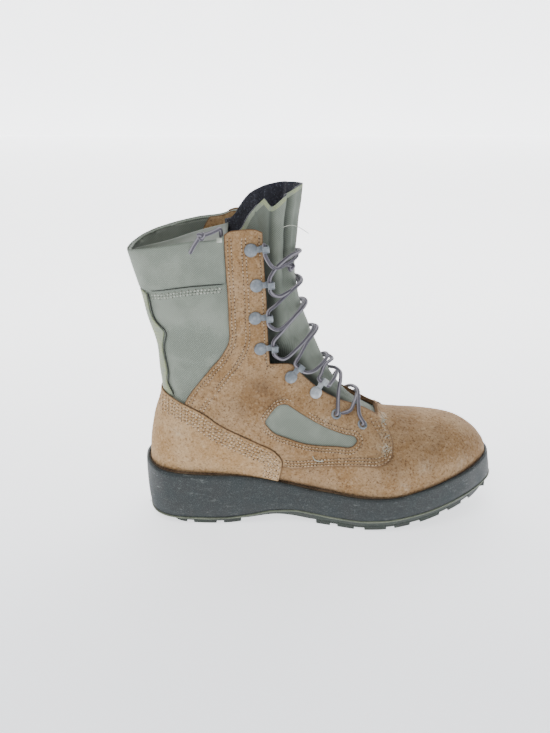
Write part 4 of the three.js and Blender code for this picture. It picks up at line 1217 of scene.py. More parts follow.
class Skin:
    """The form grown by a distance, for finding what lies at a place seen from the side."""

    OUTSIDE = 200.0  # where a ray towards the form starts
    WITHIN = 30.0  # where the nearest point is sought if the ray misses

    def __init__(self, last: Last, grow: float) -> None:
        """Makes the search tree.

        Args:
            last: the form.
            grow: how far it is grown.
        """
        places = np.linspace(-0.9, last.last_place - 0.02, 300)
        shares = np.linspace(-0.995, 0.995, 240)
        p, s = np.meshgrid(places, shares, indexing="ij")
        points = last.grown(p, s, grow).reshape(-1, 3)
        at = np.arange(p.size).reshape(p.shape)
        quads = np.stack([at[:-1, :-1], at[1:, :-1], at[1:, 1:], at[:-1, 1:]], axis=-1).reshape(-1, 4)
        self.tree = BVHTree.FromPolygons(points.tolist(), quads.tolist())

    def hit(self, x: float, z: float, side: Side) -> tuple[Vector, Vector]:
        """The point and outward direction at a place seen from the side."""
        start = Vector((x, side.value * self.OUTSIDE, z))
        point, normal, _, _ = self.tree.ray_cast(start, Vector((0, -side.value, 0)))
        if point is None:
            point, normal, _, _ = self.tree.find_nearest(Vector((x, side.value * self.WITHIN, z)))
        return point, normal if normal.y * side.value > 0 else -normal

    def seat(self, at: float, up: float, side: Side) -> tuple[Vector, Vector]:
        """The same for shares of the sole's length and the height shares."""
        return self.hit(at * SOLE_LENGTH, float(side_height(up)), side)

    def frame(self, at: float, up: float, side: Side, turn: float, lift: float) -> Matrix:
        """A frame on the surface: x along an arm that points up by an angle, z outwards.

        Args:
            at: share of the sole's length.
            up: height share.
            side: side of the boot.
            turn: how far x points up from level, in degrees.
            lift: how far it stands off the surface.

        Returns:
            The frame as a matrix.
        """
        point, normal = self.seat(at, up, side)
        arm = Vector((math.cos(math.radians(turn)), 0, math.sin(math.radians(turn))))
        across = normal.cross(arm).normalized()
        along = across.cross(normal)
        rows = Matrix((along, across, normal)).transposed().to_4x4()
        return Matrix.Translation(point + normal * lift) @ rows


def smooth_path(points: Sequence[Sequence[float]], steps: int, closed: bool = False) -> Array:
    """A centripetal curve through points.

    Args:
        points: the points that it passes.
        steps: pieces between two of them.
        closed: whether it returns to its start.

    Returns:
        Points along the curve.
    """
    knots = np.array([tuple(p) for p in points], float)
    if closed:
        knots = np.vstack([knots[-1], knots, knots[:2]])
    else:
        knots = np.vstack([2 * knots[0] - knots[1], knots, 2 * knots[-1] - knots[-2]])
    out = []
    for i in range(1, len(knots) - 2):
        p = knots[i - 1:i + 3]
        gaps = np.maximum(np.linalg.norm(np.diff(p, axis=0), axis=1) ** 0.5, 1e-6)
        t = np.concatenate([[0], np.cumsum(gaps)])
        for u in np.linspace(t[1], t[2], steps, endpoint=False):
            a = [p[k] + (p[k + 1] - p[k]) * (u - t[k]) / gaps[k] for k in range(3)]
            b = [a[k] + (a[k + 1] - a[k]) * (u - t[k]) / (t[k + 2] - t[k]) for k in range(2)]
            out.append(b[0] + (b[1] - b[0]) * (u - t[1]) / (t[2] - t[1]))
    if not closed:
        out.append(knots[-2])
    return np.array(out)


def even_path(path: Array, pitch: float) -> Array:
    """The same line with its points a pitch apart."""
    reach = reached(path)
    count = max(2, round(reach[-1] / pitch) + 1)
    at = np.linspace(0, reach[-1], count)
    return np.stack([np.interp(at, reach, path[:, k]) for k in range(path.shape[1])], axis=1)


def sweep(path: Array, radius: float, sides: int = 12, flat: float = 1.0) -> bmesh.types.BMesh:
    """A round cord along a path, with closed and rounded ends.

    Args:
        path: points along its middle.
        radius: its radius.
        sides: faces around it.
        flat: its height as a share of its width.

    Returns:
        The mesh, with UVs in millimetres.
    """
    count = len(path)
    along = np.gradient(path, axis=0)
    along /= np.maximum(np.linalg.norm(along, axis=1, keepdims=True), 1e-9)
    side = np.cross(along[0], (0.3, 0.2, 0.93))
    frames = []
    for way in along:
        side = side - way * (side @ way)
        side /= np.linalg.norm(side)
        frames.append((side, np.cross(way, side)))
    reach = reached(path)
    near_end = np.minimum(reach, reach[-1] - reach)
    size = np.sqrt(np.clip(1 - np.clip(1 - near_end / radius, 0, 1) ** 2, 0.02, 1))
    bm = bmesh.new()
    bmesh.ops.create_grid(bm, x_segments=count - 1, y_segments=sides, size=1.0)
    unrolled = []
    for vert in bm.verts:
        i = round((vert.co.x + 1) / 2 * (count - 1))
        k = round((vert.co.y + 1) / 2 * sides)
        turn = 2 * math.pi * k / sides
        first, second = frames[i]
        out = first * math.cos(turn) + second * (math.sin(turn) * flat)
        unrolled.append((reach[i], 2 * math.pi * radius * k / sides))
        vert.co = Vector(path[i] + out * (radius * size[i]))
    bm.verts.index_update()
    lay_cloth(bm, "cord", lambda vert: unrolled[vert.index])
    bmesh.ops.remove_doubles(bm, verts=bm.verts, dist=0.002)
    fill_holes(bm)
    bmesh.ops.recalc_face_normals(bm, faces=bm.faces)
    return bm


def joined(parts: Iterable[bmesh.types.BMesh]) -> bmesh.types.BMesh:
    """Puts several meshes into one and frees them.

    Args:
        parts: the meshes.

    Returns:
        The one mesh.
    """
    whole = bmesh.new()
    carrier = bpy.data.meshes.new("joined")
    for part in parts:
        part.to_mesh(carrier)
        whole.from_mesh(carrier)
        part.free()
        carrier.clear_geometry()
    bpy.data.meshes.remove(carrier)
    return whole


OUTLINE = (
    # at, outer, inner
    (0.016, 0.198, 0.189), (0.06, 0.323, 0.311), (0.16, 0.373, 0.354), (0.285, 0.364, 0.325),
    (0.395, 0.349, 0.288), (0.5, 0.396, 0.335), (0.6, 0.475, 0.431), (0.68, 0.508, 0.488),
    (0.74, 0.488, 0.513), (0.793, 0.45, 0.519), (0.86, 0.361, 0.503), (0.923, 0.235, 0.46),
    (0.964, 0.11, 0.378), (0.99, -0.005, 0.27),
)
LUGS = (
    (0.035, 0.12), (0.139, 0.204), (0.224, 0.273), (0.485, 0.524), (0.544, 0.59), (0.618, 0.678),
    (0.7, 0.744), (0.772, 0.83), (0.855, 0.898), (0.922, 1.0),
)


@dataclass
class Sole:
    """The rubber wall with its deck, and the tread with its lugs."""

    wall: Rubber
    tread: Rubber
    seam: Rubber
    welt: bpy.types.Material
    toe_swing: float = 0.125
    steps: int = 10
    heel_round: float = 3.0
    tread_inset: float = 2.2
    lug_reach: float = 24.0
    lug_groove: float = 5.0
    widest_notch: float = 0.05
    bar_rise: float = 1.9
    bar_reach: float = 12.0
    bar_overlap: float = 0.003
    loop: Array = field(init=False)

    def __post_init__(self) -> None:
        """Works out the smooth outline once."""
        outer = [(at * SOLE_LENGTH, -out * BALL_WIDTH) for at, out, _ in OUTLINE]
        inner = [(at * SOLE_LENGTH, inn * BALL_WIDTH) for at, _, inn in reversed(OUTLINE)]
        knots = [(0, 0), *outer, (SOLE_LENGTH, self.toe_swing * BALL_WIDTH), *inner]
        self.loop = smooth_path(knots, self.steps, closed=True)

    def ring(self, inset: float, bevel: float = 0.0, lean: float = 0.0) -> Array:
        """The outline set in by a distance, its heel bevelled and its toe leaning back.

        Args:
            inset: the distance, negative outwards.
            bevel: how far the heel is cut back.
            lean: how far the toe leans back.

        Returns:
            Points of x and y.
        """
        along = np.roll(self.loop, -1, 0) - np.roll(self.loop, 1, 0)
        along /= np.linalg.norm(along, axis=1, keepdims=True)
        x = self.loop[:, 0] - along[:, 1] * inset
        y = self.loop[:, 1] + along[:, 0] * inset
        x = x + bevel * np.maximum(0, 1 - x / (4 * bevel + 1)) ** 2
        return np.stack([x - lean * np.maximum(0, 8 * x / SOLE_LENGTH - 7) ** 2, y], axis=1)

    def _levels(self, levels: Sequence[tuple[Array, Array]]) -> bmesh.types.BMesh:
        """A band round the sole through levels of (outline, heights), lowest first.

        Args:
            levels: the levels.

        Returns:
            The mesh.
        """
        count = len(self.loop)
        bm = bmesh.new()
        bmesh.ops.create_grid(bm, x_segments=count, y_segments=len(levels) - 1, size=1.0)
        for vert in bm.verts:
            i = round((vert.co.x + 1) / 2 * count) % count
            ring, height = levels[round((vert.co.y + 1) / 2 * (len(levels) - 1))]
            vert.co = (ring[i, 0], ring[i, 1], height[i])
        bmesh.ops.remove_doubles(bm, verts=bm.verts, dist=0.01)
        return bm

    def _level(
        self, inset: float, height: Field, lift: float, bevel: float = 0.0, lean: float = TOE_LEAN,
    ) -> tuple[Array, Array]:
        """The outline set in by a distance, at a lift from one of the sole's lines."""
        ring = self.ring(inset, bevel, lean)
        return ring, height(ring[:, 0]) + lift

    def build_wall(self) -> None:
        """The wall from the tread up to its lip, with a rounded edge and its inside down to the deck."""
        levels = []
        bulge = ((0, 0), (0.06, 0.5), (0.16, 0.85), (0.35, 0.8), (0.55, 0.5), (0.75, 0.3), (0.9, 0.1))
        for share, out in bulge:
            ring = self.ring(-out, self.heel_round * (1 - share) ** 2, TOE_LEAN * share)
            low, high = SIDE.welt(ring[:, 0]) + GAP, SIDE.rim(ring[:, 0])
            levels.append((ring, low + (high - low) * share))
        rim = ((0.25, -0.5), (0.9, 0.0), (1.9, 0.0), (LIP_THICKNESS - 0.2, -0.5), (LIP_THICKNESS, -3.0))
        levels += [self._level(inset, SIDE.rim, lift) for inset, lift in rim]
        levels += [self._level(inset, SIDE.deck, -0.6) for inset in (LIP_THICKNESS + 1, 22.0)]
        bm = self._levels(levels)
        fill_holes(bm)
        add_piece("sidewall", bm, [self.wall.material()], ["midsole"])
        strip = ((-0.4, -1.8), (0.6, -0.8), (2.2, 0.0), (4.5, 0.2), (7.5, -0.2))
        levels = [self._level(LIP_THICKNESS + inset, SIDE.rim, lift) for inset, lift in strip]
        add_piece("welt_strip", self._levels(levels), [self.welt])
        bead = ((0.1, -0.2), (1.15, 0.0), (1.35, 0.55), (1.0, 1.1), (0.2, 1.3))
        levels = [self._level(-out, SIDE.welt, lift, self.heel_round, 0.0) for out, lift in bead]
        add_piece("parting_bead", self._levels(levels), [self.seam.material()])

    def build_tread(self) -> None:
        """The base between the lugs and the wall, then the lugs."""
        levels = []
        for share in (0.0, 0.12, 0.5, 1.0):
            inset = self.tread_inset + (0.4 - self.tread_inset) * share
            bevel = HEEL_BEVEL * 0.7 * (1 - share) + self.heel_round * share
            ring = self.ring(inset, bevel, TOE_LEAN * 0.7 * (1 - share))
            low, high = SIDE.base(ring[:, 0]), SIDE.welt(ring[:, 0])
            levels.append((ring, low + (high - low) * share + (0.4 if share == 0 else 0)))
        under = self._level(self.tread_inset + 0.9, SIDE.base, 0.0, HEEL_BEVEL * 0.7, TOE_LEAN * 0.7)
        bm = self._levels([under, *levels])
        fill_holes(bm)
        lugs = []
        for start, end in LUGS:
            for side in SIDES:
                lugs.append(self._lug(start, end, side, self.tread_inset, self.lug_reach))
            lugs.append(self._lug(start, end, Side.BOTH, 0, self.lug_reach + self.lug_groove))
        for (_, end), (start, _) in zip(LUGS, LUGS[1:]):
            if start - end < self.widest_notch:
                bar = (end - self.bar_overlap, start + self.bar_overlap)
                for side in SIDES:
                    lugs.append(self._lug(*bar, side, self.tread_inset + 0.5, self.bar_reach, self.bar_rise))
        add_piece("tread", joined([bm, *lugs]), [self.tread.material()], ["outsole"], smooth=False)

    def _reach(self, ring: Array, x: Array, side: Side) -> Array:
        """Where an outline lies across the sole at distances from the heel."""
        half = ring[np.where(ring[:, 1] * side.value > 0)[0]] if side is not Side.BOTH else ring
        order = np.argsort(half[:, 0])
        return np.interp(x, half[order, 0], half[order, 1])

    def _lug(
        self, start: float, end: float, side: Side, near: float, far: float, rise: float = 0.0,
    ) -> bmesh.types.BMesh:
        """One block of the tread, bevelled at the ground.

        Args:
            start: share of the sole's length where it starts.
            end: share where it ends.
            side: the edge that it runs along, or both for a centre block.
            near: how far its outer edge is set in.
            far: how far its inner edge is set in.
            rise: how far it stays clear of the ground.

        Returns:
            The mesh.
        """
        bm = bmesh.new()
        bmesh.ops.create_grid(bm, x_segments=6, y_segments=4, size=1.0)
        outline = self.ring(near if side is not Side.BOTH else far, HEEL_BEVEL, TOE_LEAN)
        inner = self.ring(far, HEEL_BEVEL, TOE_LEAN)
        first = max(start * SOLE_LENGTH, outline[:, 0].min() + 1.0)
        last_x = min(end * SOLE_LENGTH, outline[:, 0].max() - 1.0)
        if last_x - first < 3:
            return bm
        for vert in bm.verts:
            x = first + (last_x - first) * (vert.co.x + 1) / 2
            across = (vert.co.y + 1) / 2
            if side is Side.BOTH:
                low, high = (float(self._reach(inner, x, s)) for s in SIDES)
            else:
                low = float(self._reach(outline, x, side))
                high = float(self._reach(inner, x, side))
                high = high if high * side.value > 3 else 3 * side.value
            vert.co = (x, low + (high - low) * across, float(SIDE.tread(x)) + rise)
        top = bmesh.ops.extrude_face_region(bm, geom=bm.faces[:])
        lifted = [item for item in top["geom"] if isinstance(item, bmesh.types.BMVert)]
        for vert in lifted:
            vert.co.z = float(SIDE.base(vert.co.x)) + 0.6
        bmesh.ops.recalc_face_normals(bm, faces=bm.faces)
        rims = [e for e in bm.edges if len(e.link_faces) == 2 and e.calc_face_angle(0) > 0.9]
        round_off(bm, rims, 0.7)
        return bm


@dataclass(frozen=True)
class Blotch:
    """A soft spot on one side of the boot, given by its middle, radius and strength."""

    x: float
    z: float
    radius: float
    strength: float
    side: Side = Side.OUTER

    def value(self, p: Array) -> Array:
        """Its strength at points of the form."""
        away = np.hypot(p[..., 0] - self.x, p[..., 2] - self.z) / self.radius
        amount = self.strength * np.exp(-(away**2))
        if self.side is Side.BOTH:
            return amount
        return amount * smoothstep(-6, 6, self.side.value * p[..., 1])


NAP = (
    Blotch(226, 92, 13, 0.3, Side.BOTH), Blotch(236, 82, 9, 0.2), Blotch(218, 62, 10, 0.35),
    Blotch(250, 66, 12, 0.25), Blotch(262, 80, 9, 0.2), Blotch(105, 127, 13, 0.6),
    Blotch(88, 112, 10, 0.25), Blotch(126, 112, 10, 0.3), Blotch(205, 50, 10, 0.2),
    Blotch(286, 62, 8, 0.2, Side.BOTH), Blotch(60, 92, 12, 0.15), Blotch(150, 56, 14, 0.2),
    Blotch(96, 108, 12, 0.5, Side.INNER), Blotch(236, 70, 14, 0.4, Side.INNER),
)
RUB = (
    Blotch(210.5, 74, 4.2, 1.0), Blotch(211.5, 90, 3.6, 1.0), Blotch(210, 82, 3, 0.5),
    Blotch(246, 58, 5, 0.4), Blotch(228, 44, 5, 0.4), Blotch(160, 98, 4, 0.5), Blotch(112, 100, 5, 0.35),
    Blotch(34, 90, 6, 0.3), Blotch(280, 55, 6, 0.3), Blotch(215, 60, 6, 0.8, Side.INNER),
)


def painted(spots: Sequence[Blotch]) -> Field:
    """Adds up spots, held between 0 and 1."""
    return lambda p: np.clip(sum(spot.value(p) for spot in spots), 0, 1)


HIDE = {"nap": painted(NAP), "rub": painted(RUB)}


@dataclass
class Upper:
    """The sewn upper: vamp and shaft under quarters, counter, back strip and cuff."""

    last: Last
    suede: bpy.types.Material
    paler: bpy.types.Material
    twill: bpy.types.Material
    terry: bpy.types.Material
    tape: bpy.types.Material
    inner: bpy.types.Material
    vent_margin: float = 5.0

    @staticmethod
    def relief(p: Array) -> Array:
        """The listed folds with a little broad unevenness."""
        return creases(p) + 0.28 * lumps(p, 46, 5)

    def build_vamp(self) -> None:
        """The plain toe and the leather under the quarters."""
        front = Edge(((0.28, -1), (0.3, 1.02), (1.2, 1.4), (1.2, -1)))
        keep = (outside(THROAT), over_rim(7.0), inside(front))
        panel = Panel(self.last, (-1, 12.5), (-1, 1), keep, 0.0, roll=0.0, cell=2.0)
        layers = [self.suede, self.terry]
        piece = add_piece("vamp", panel.build(self.relief, HIDE), layers, ["upper"])
        thicken(piece, WALL, lining=1)

    def build_shaft(self) -> None:
        """The nylon shaft, lined, from the counter to the collar."""
        back = Edge(((-0.2, 0.5), (0.25, 0.5), (0.31, 0.8), (0.345, 1.3), (0.35, 3), (-0.2, 3)))
        keep = (inside(back), outside(THROAT), below(COLLAR), over_rim(7.0))
        panel = Panel(self.last, (9, 24), (-1, 1), keep, 0.0, roll=1.2, sunk=0.6, cell=2.2)
        cloths = [self.twill, self.inner]
        piece = add_piece("shaft_cloth", panel.build(self.relief), cloths, ["shaft"])
        thicken(piece, WALL, lining=1)
        for side in SIDES:
            keep = (inside(VENT, self.vent_margin), one_side(side))
            panel = Panel(
                self.last, (8, 16), side.shares(0.02, 0.9), keep, 0.35, roll=0.0, sunk=0.0, cell=1.8,
                from_side=True,
            )
            piece = add_piece(f"vent_{side.label}", panel.build(self.relief), [self.twill])
            thicken(piece, 0.3)

    def build_quarters(self) -> None:
        """The leather of both sides, with a vent cut out of each."""
        for side in SIDES:
            keep = (
                inside(QUARTER), outside(THROAT), outside(VENT), outside(COUNTER), below(COLLAR, -1.2),
                one_side(side), over_rim(2.0),
            )
            panel = Panel(self.last, (7, 24), side.shares(-0.03, 1), keep, GAP + LEATHER, cell=1.9)
            bm = panel.build(self.relief, HIDE)
            piece = add_piece(f"quarter_{side.label}", bm, [self.suede], [f"quarter_{side.foot}"])
            thicken(piece, LEATHER)

    def build_counter(self) -> None:
        """The stiff leather cup round the heel."""
        keep = (inside(COUNTER), over_rim(2.0))
        panel = Panel(self.last, (10, 24), (-1, 1), keep, GAP + 2.3, roll=1.0, sunk=0.7, cell=2.0)
        relief: Field = lambda p: 0.18 * lumps(p, 40, 9)
        piece = add_piece("counter", panel.build(relief, HIDE), [self.paler], ["heel_counter"])
        thicken(piece, 2.2)

    def build_back(self) -> None:
        """The wavy strip down the back and the cuff round the collar."""
        keep = (inside(BACK_STAY), outside(COUNTER))
        panel = Panel(self.last, (14, 24), (-1, 1), keep, GAP + 1.0, roll=0.9, sunk=0.3, cell=1.8)
        piece = add_piece("back_strip", panel.build(self.relief), [self.tape], ["back_stay"])
        thicken(piece, 0.9)
        wider = Edge((*CUFF.knots[:3], (0.262, 1.737), (0.262, 2.5), (-0.1, 2.5)))
        keep = (inside(wider), outside(QUARTER), outside(THROAT), below(COLLAR, -0.6))
        panel = Panel(self.last, (16, 24), (-1, 1), keep, GAP + 1.0, roll=1.4, sunk=0.35, cell=2.0)
        piece = add_piece("cuff", panel.build(self.relief), [self.twill], ["collar_cuff"])
        thicken(piece, 0.9)


@dataclass
class Tongue:
    """The folded tongue: cloth outside, looped lining inside and tape round its edge."""

    last: Last
    twill: bpy.types.Material
    terry: bpy.types.Material
    tape: bpy.types.Material
    first_place: float = 7.0
    last_place: float = 24.0
    fold_depth: float = 6.5
    gutter: float = 13.0
    flute: float = 1.4
    pleat: float = 4.5
    binding: float = 3.2
    cloth_width: float = 44.0
    thickness: float = 1.8
    tuck: float = 0.17

    def __post_init__(self) -> None:
        """Finds the share at which each section leaves the throat, on both sides."""
        self.spots = np.arange(self.first_place, self.last_place + 0.01, 0.25)
        shares = np.linspace(0, 0.75, 151)
        self.open = {}
        for side in SIDES:
            p, s = np.meshgrid(self.spots, shares, indexing="ij")
            points = self.last.point(p, -side.value * s)
            within = THROAT.depth(points[..., 0], points[..., 2]) > 0
            self.open[side] = np.array([shares[np.argmin(row)] if row[0] else 0.0 for row in within])

    def surface(self, place: Array, across: Array, depth: Array | float = 0.0) -> Array:
        """Points of the folded sheet.

        Args:
            place: places between the sections.
            across: -1 at the inner edge of the throat, 1 at the outer edge; what lies beyond is tucked in.
            depth: how far under the outside of the sheet.

        Returns:
            Points in millimetres.
        """
        outer = np.interp(place, self.spots, self.open[Side.OUTER])
        inner = np.interp(place, self.spots, self.open[Side.INNER])
        edge = np.where(across > 0, outer, inner)
        rise = smoothstep(0.1, 0.3, edge)
        wide = np.abs(across)
        reach = np.minimum(wide, 1) * (edge + 0.027 * (1 - rise)) + np.maximum(wide - 1, 0)
        share = np.sign(across) * reach
        stand = Profile((0, 0.3, 0.5, 0.66, 0.84, 1.0, 1.2), (1.0, 0.95, 0.76, 0.6, 0.2, 0.0, 0.0))(wide)
        fold = Profile((0, 0.22, 0.4, 0.56, 0.7, 0.84, 1.2), (0, 0.12, 1.0, 0.3, 0.0, 0.1, 0))(wide)
        gutter = Profile((0, 0.44, 0.6, 0.76, 0.92, 1.05, 1.2), (0, 0, 0.45, 0.95, 1.0, 0.9, 0.6))(wide)
        inside_wall = WALL + 2.5 * GAP
        folded = (fold * self.fold_depth + gutter * self.gutter) * rise
        down = -inside_wall + stand * inside_wall * rise - folded
        wave = 0.6 * np.sin(place * 1.9 + across * 2.2) * rise * smoothstep(0.15, 0.5, wide)
        free = smoothstep(18.5, 21, place) * (1 - smoothstep(0.9, 1.1, wide))
        flute = self.flute * free * np.cos(wide * 15.5 + 0.5 * across)
        pleat = self.pleat * self.pleats(place, across)
        return self.last.grown(place, share, down + wave + flute - pleat - depth)

    @staticmethod
    def pleats(place: Array, across: Array) -> Array:
        """How deep the two narrow pleats of the tongue's upper part are, from 0 to 1."""
        near, far = (np.exp(-(((across - middle) / 0.05) ** 2)) for middle in (0.34, 0.66))
        return smoothstep(17.5, 20.5, place) * (near + 0.6 * far)

    @staticmethod
    def _flat(bm: bmesh.types.BMesh) -> tuple[Array, Array]:
        """Places and distances across of every vertex, before the sheet is laid."""
        flat = np.array([vert.co[:2] for vert in bm.verts])
        return flat[:, 0], flat[:, 1]

    def _shade(self, place: Array, across: Array) -> Array:
        """How much painted shade darkens the cloth in its gutters, in its pleats and on the lee side of the
        pleats, from 0 to 1.
        """
        gutter = smoothstep(0.52, 0.78, np.abs(across)) * (1 - 0.5 * smoothstep(19.5, 22, place))
        lee_shade = 0.3 * smoothstep(17.5, 20.5, place) * smoothstep(0.36, 0.28, across) * (across > -0.5)
        total = gutter * smoothstep(7.5, 9.5, place) + 0.75 * self.pleats(place, across) + lee_shade
        return np.clip(total, 0, 1)

    def build(self) -> None:
        """The sheet, trimmed along its top, with its lining and the tape along its top edge."""
        bm = bmesh.new()
        bmesh.ops.create_grid(bm, x_segments=150, y_segments=84, size=1.0)
        for vert in bm.verts:
            place = self.first_place + (self.last_place - self.first_place) * (vert.co.x + 1) / 2
            vert.co = (place, vert.co.y * (1 + self.tuck), 0)
        trim = below(TONGUE_TOP)
        for level in (0.0, self.binding):
            place, across = self._flat(bm)
            cut_sheet(bm, trim(self.surface(place, across)) - level, drop=level == 0)
        place, across = self._flat(bm)
        points = self.surface(place, across)
        depth = trim(points)
        spine = self.last.point(self.spots, np.full(len(self.spots), 0.1))
        height = np.interp(place, self.spots, reached(spine))
        bm.verts.index_update()
        lay_cloth(bm, "cloth", lambda vert: (across[vert.index] * self.cloth_width, height[vert.index]))
        for face in bm.faces:
            if max(depth[vert.index] for vert in face.verts) < self.binding + 0.1:
                face.material_index = 1
        # painted shade for the gutters, the pleats and their lee, kept in the deep attribute that the twill
        # reads
        deep = bm.verts.layers.float.new("deep")
        shade = self._shade(place, across)
        for vert, point in zip(bm.verts, points):
            vert[deep] = float(shade[vert.index])
            vert.co = point
        piece = add_piece("tongue_cloth", bm, [self.twill, self.tape, self.terry], ["tongue"])
        thicken(piece, self.thickness, lining=2, rim=1)


@dataclass(frozen=True)
class HookPlace:
    """A hook: where its rivet sits, and how far its arm points up."""

    at: float
    up: float
    turn: float


HOOKS = (
    HookPlace(0.309, 1.888, 6), HookPlace(0.322, 1.719, 3), HookPlace(0.318, 1.561, 2),
    HookPlace(0.331, 1.405, 4), HookPlace(0.411, 1.246, 48), HookPlace(0.478, 1.154, 52),
)
EYELETS = ((0.535, 1.039), (0.608, 0.957))


@dataclass
class Hardware:
    """Speed hooks and eyelets, pressed from sheet steel."""

    skin: Skin
    lacquer: bpy.types.Material
    bright: bpy.types.Material
    disc: float = 10.8
    metal: float = 1.1
    lace: float = 3.0
    clearance: float = 0.8
    reach: float = 10.2
    width: float = 5.4
    seat: float = 0.7
    rim: float = 9.2
    hole: float = 4.4

    def frames(self, side: Side) -> list[Matrix]:
        """The frames of one side's hooks, top one first."""
        return [self.skin.frame(h.at, h.up, side, h.turn, self.seat) for h in HOOKS]

    @staticmethod
    def _turned(profile: Sequence[tuple[float, float]], weld: float) -> bmesh.types.BMesh:
        """A shape turned about its axis from points of (radius, height).

        Args:
            profile: the points.
            weld: the distance below which vertices are joined.

        Returns:
            The mesh.
        """
        bm = bmesh.new()
        verts = [bm.verts.new((x, 0, z)) for x, z in profile]
        edges = [bm.edges.new(pair) for pair in zip(verts, verts[1:])]
        bmesh.ops.spin(
            bm, geom=verts + edges, cent=(0, 0, 0), axis=(0, 0, 1), angle=2 * math.pi, steps=28,
            use_merge=True,
        )
        bmesh.ops.remove_doubles(bm, verts=bm.verts, dist=weld)
        fill_holes(bm)
        bmesh.ops.recalc_face_normals(bm, faces=bm.faces)
        return bm

    def _disc(self) -> bmesh.types.BMesh:
        """The rivet's domed head on its turned-down rim."""
        r = self.disc / 2
        dome = ((0, 1.95), (2.0, 1.9), (3.3, 1.72), (3.75, 1.45), (4.5, 1.35))
        return self._turned((*dome, (r - 0.25, 0.95), (r, 0.4), (r, -0.6)), 0.01)

    def _arm(self) -> bmesh.types.BMesh:
        """The arm that runs out from the head and folds back over the lace."""
        channel = self.lace + 2 * self.clearance
        start, end = self.reach - channel / 2, self.reach + channel / 2
        roof, m = self.metal + channel, self.metal
        tip, top = end + m, roof + m
        neck = start - 1.2
        outline = (
            (0, 0), (neck, 0), (start, 0), (tip - 0.4, 0), (tip, 0.5), (tip, top - 0.7), (tip - 0.7, top),
            (start, top), (start, roof), (end - 0.2, roof), (end, roof - 0.3), (end, m + 0.2), (end - 0.3, m),
            (start, m), (neck, m), (0, m),
        )
        bm = bmesh.new()
        face = bm.faces.new([bm.verts.new((x, -self.width / 2, z)) for x, z in outline])
        moved = bmesh.ops.extrude_face_region(bm, geom=[face])["geom"]
        verts = [item for item in moved if isinstance(item, bmesh.types.BMVert)]
        bmesh.ops.translate(bm, vec=(0, self.width, 0), verts=verts)
        for vert in bm.verts:
            if vert.co.x < neck + 0.1:
                vert.co.y *= 0.8
        bmesh.ops.recalc_face_normals(bm, faces=bm.faces)
        round_off(bm, [e for e in bm.edges if e.calc_face_angle(0) > 0.6], 0.3)
        for y in (-1.0, 1.0):
            rib = bmesh.new()
            bmesh.ops.create_cube(rib, size=1.0)
            bmesh.ops.scale(rib, vec=(channel, 0.7, 0.8), verts=rib.verts)
            middle = ((start + tip) / 2, y * (self.width / 2 - 0.5), top + 0.1)
            bmesh.ops.translate(rib, vec=middle, verts=rib.verts)
            round_off(rib, rib.edges[:], 0.28, clamp=False)
            bm = joined([bm, rib])
        return bm

    def _eyelet(self) -> bmesh.types.BMesh:
        """A rolled rim with its barrel through the leather."""
        r, h = self.rim / 2, self.hole / 2
        barrel = ((r, -0.3), (h + 0.6, -0.3), (h + 0.6, -4), (h, -4))
        roll = ((h + 0.15, 0.35), (h + 0.6, 0.85), (h + 1.2, 1.0), (h + 1.8, 0.8), (r - 0.1, 0.25))
        return self._turned(((h, -4), (h, -0.3), *roll, *barrel), 0.005)

    def build(self) -> None:
        """Every hook and eyelet of both sides."""
        for side in SIDES:
            node = side.foot
            for k, frame in enumerate(self.frames(side), 1):
                bm = joined([self._disc(), self._arm()])
                bmesh.ops.transform(bm, matrix=frame, verts=bm.verts)
                material = self.bright if k == len(HOOKS) and side is Side.OUTER else self.lacquer
                add_piece(f"speed_hook_{node}_{k}", bm, [material], [f"hook_{node}_{k}"])
            for k, (at, up) in enumerate(EYELETS, 1):
                bm = self._eyelet()
                bmesh.ops.transform(bm, matrix=self.skin.frame(at, up, side, 0, 0.1), verts=bm.verts)
                add_piece(f"lace_eyelet_{node}_{k}", bm, [self.lacquer], [f"eyelet_{node}_{k}"])


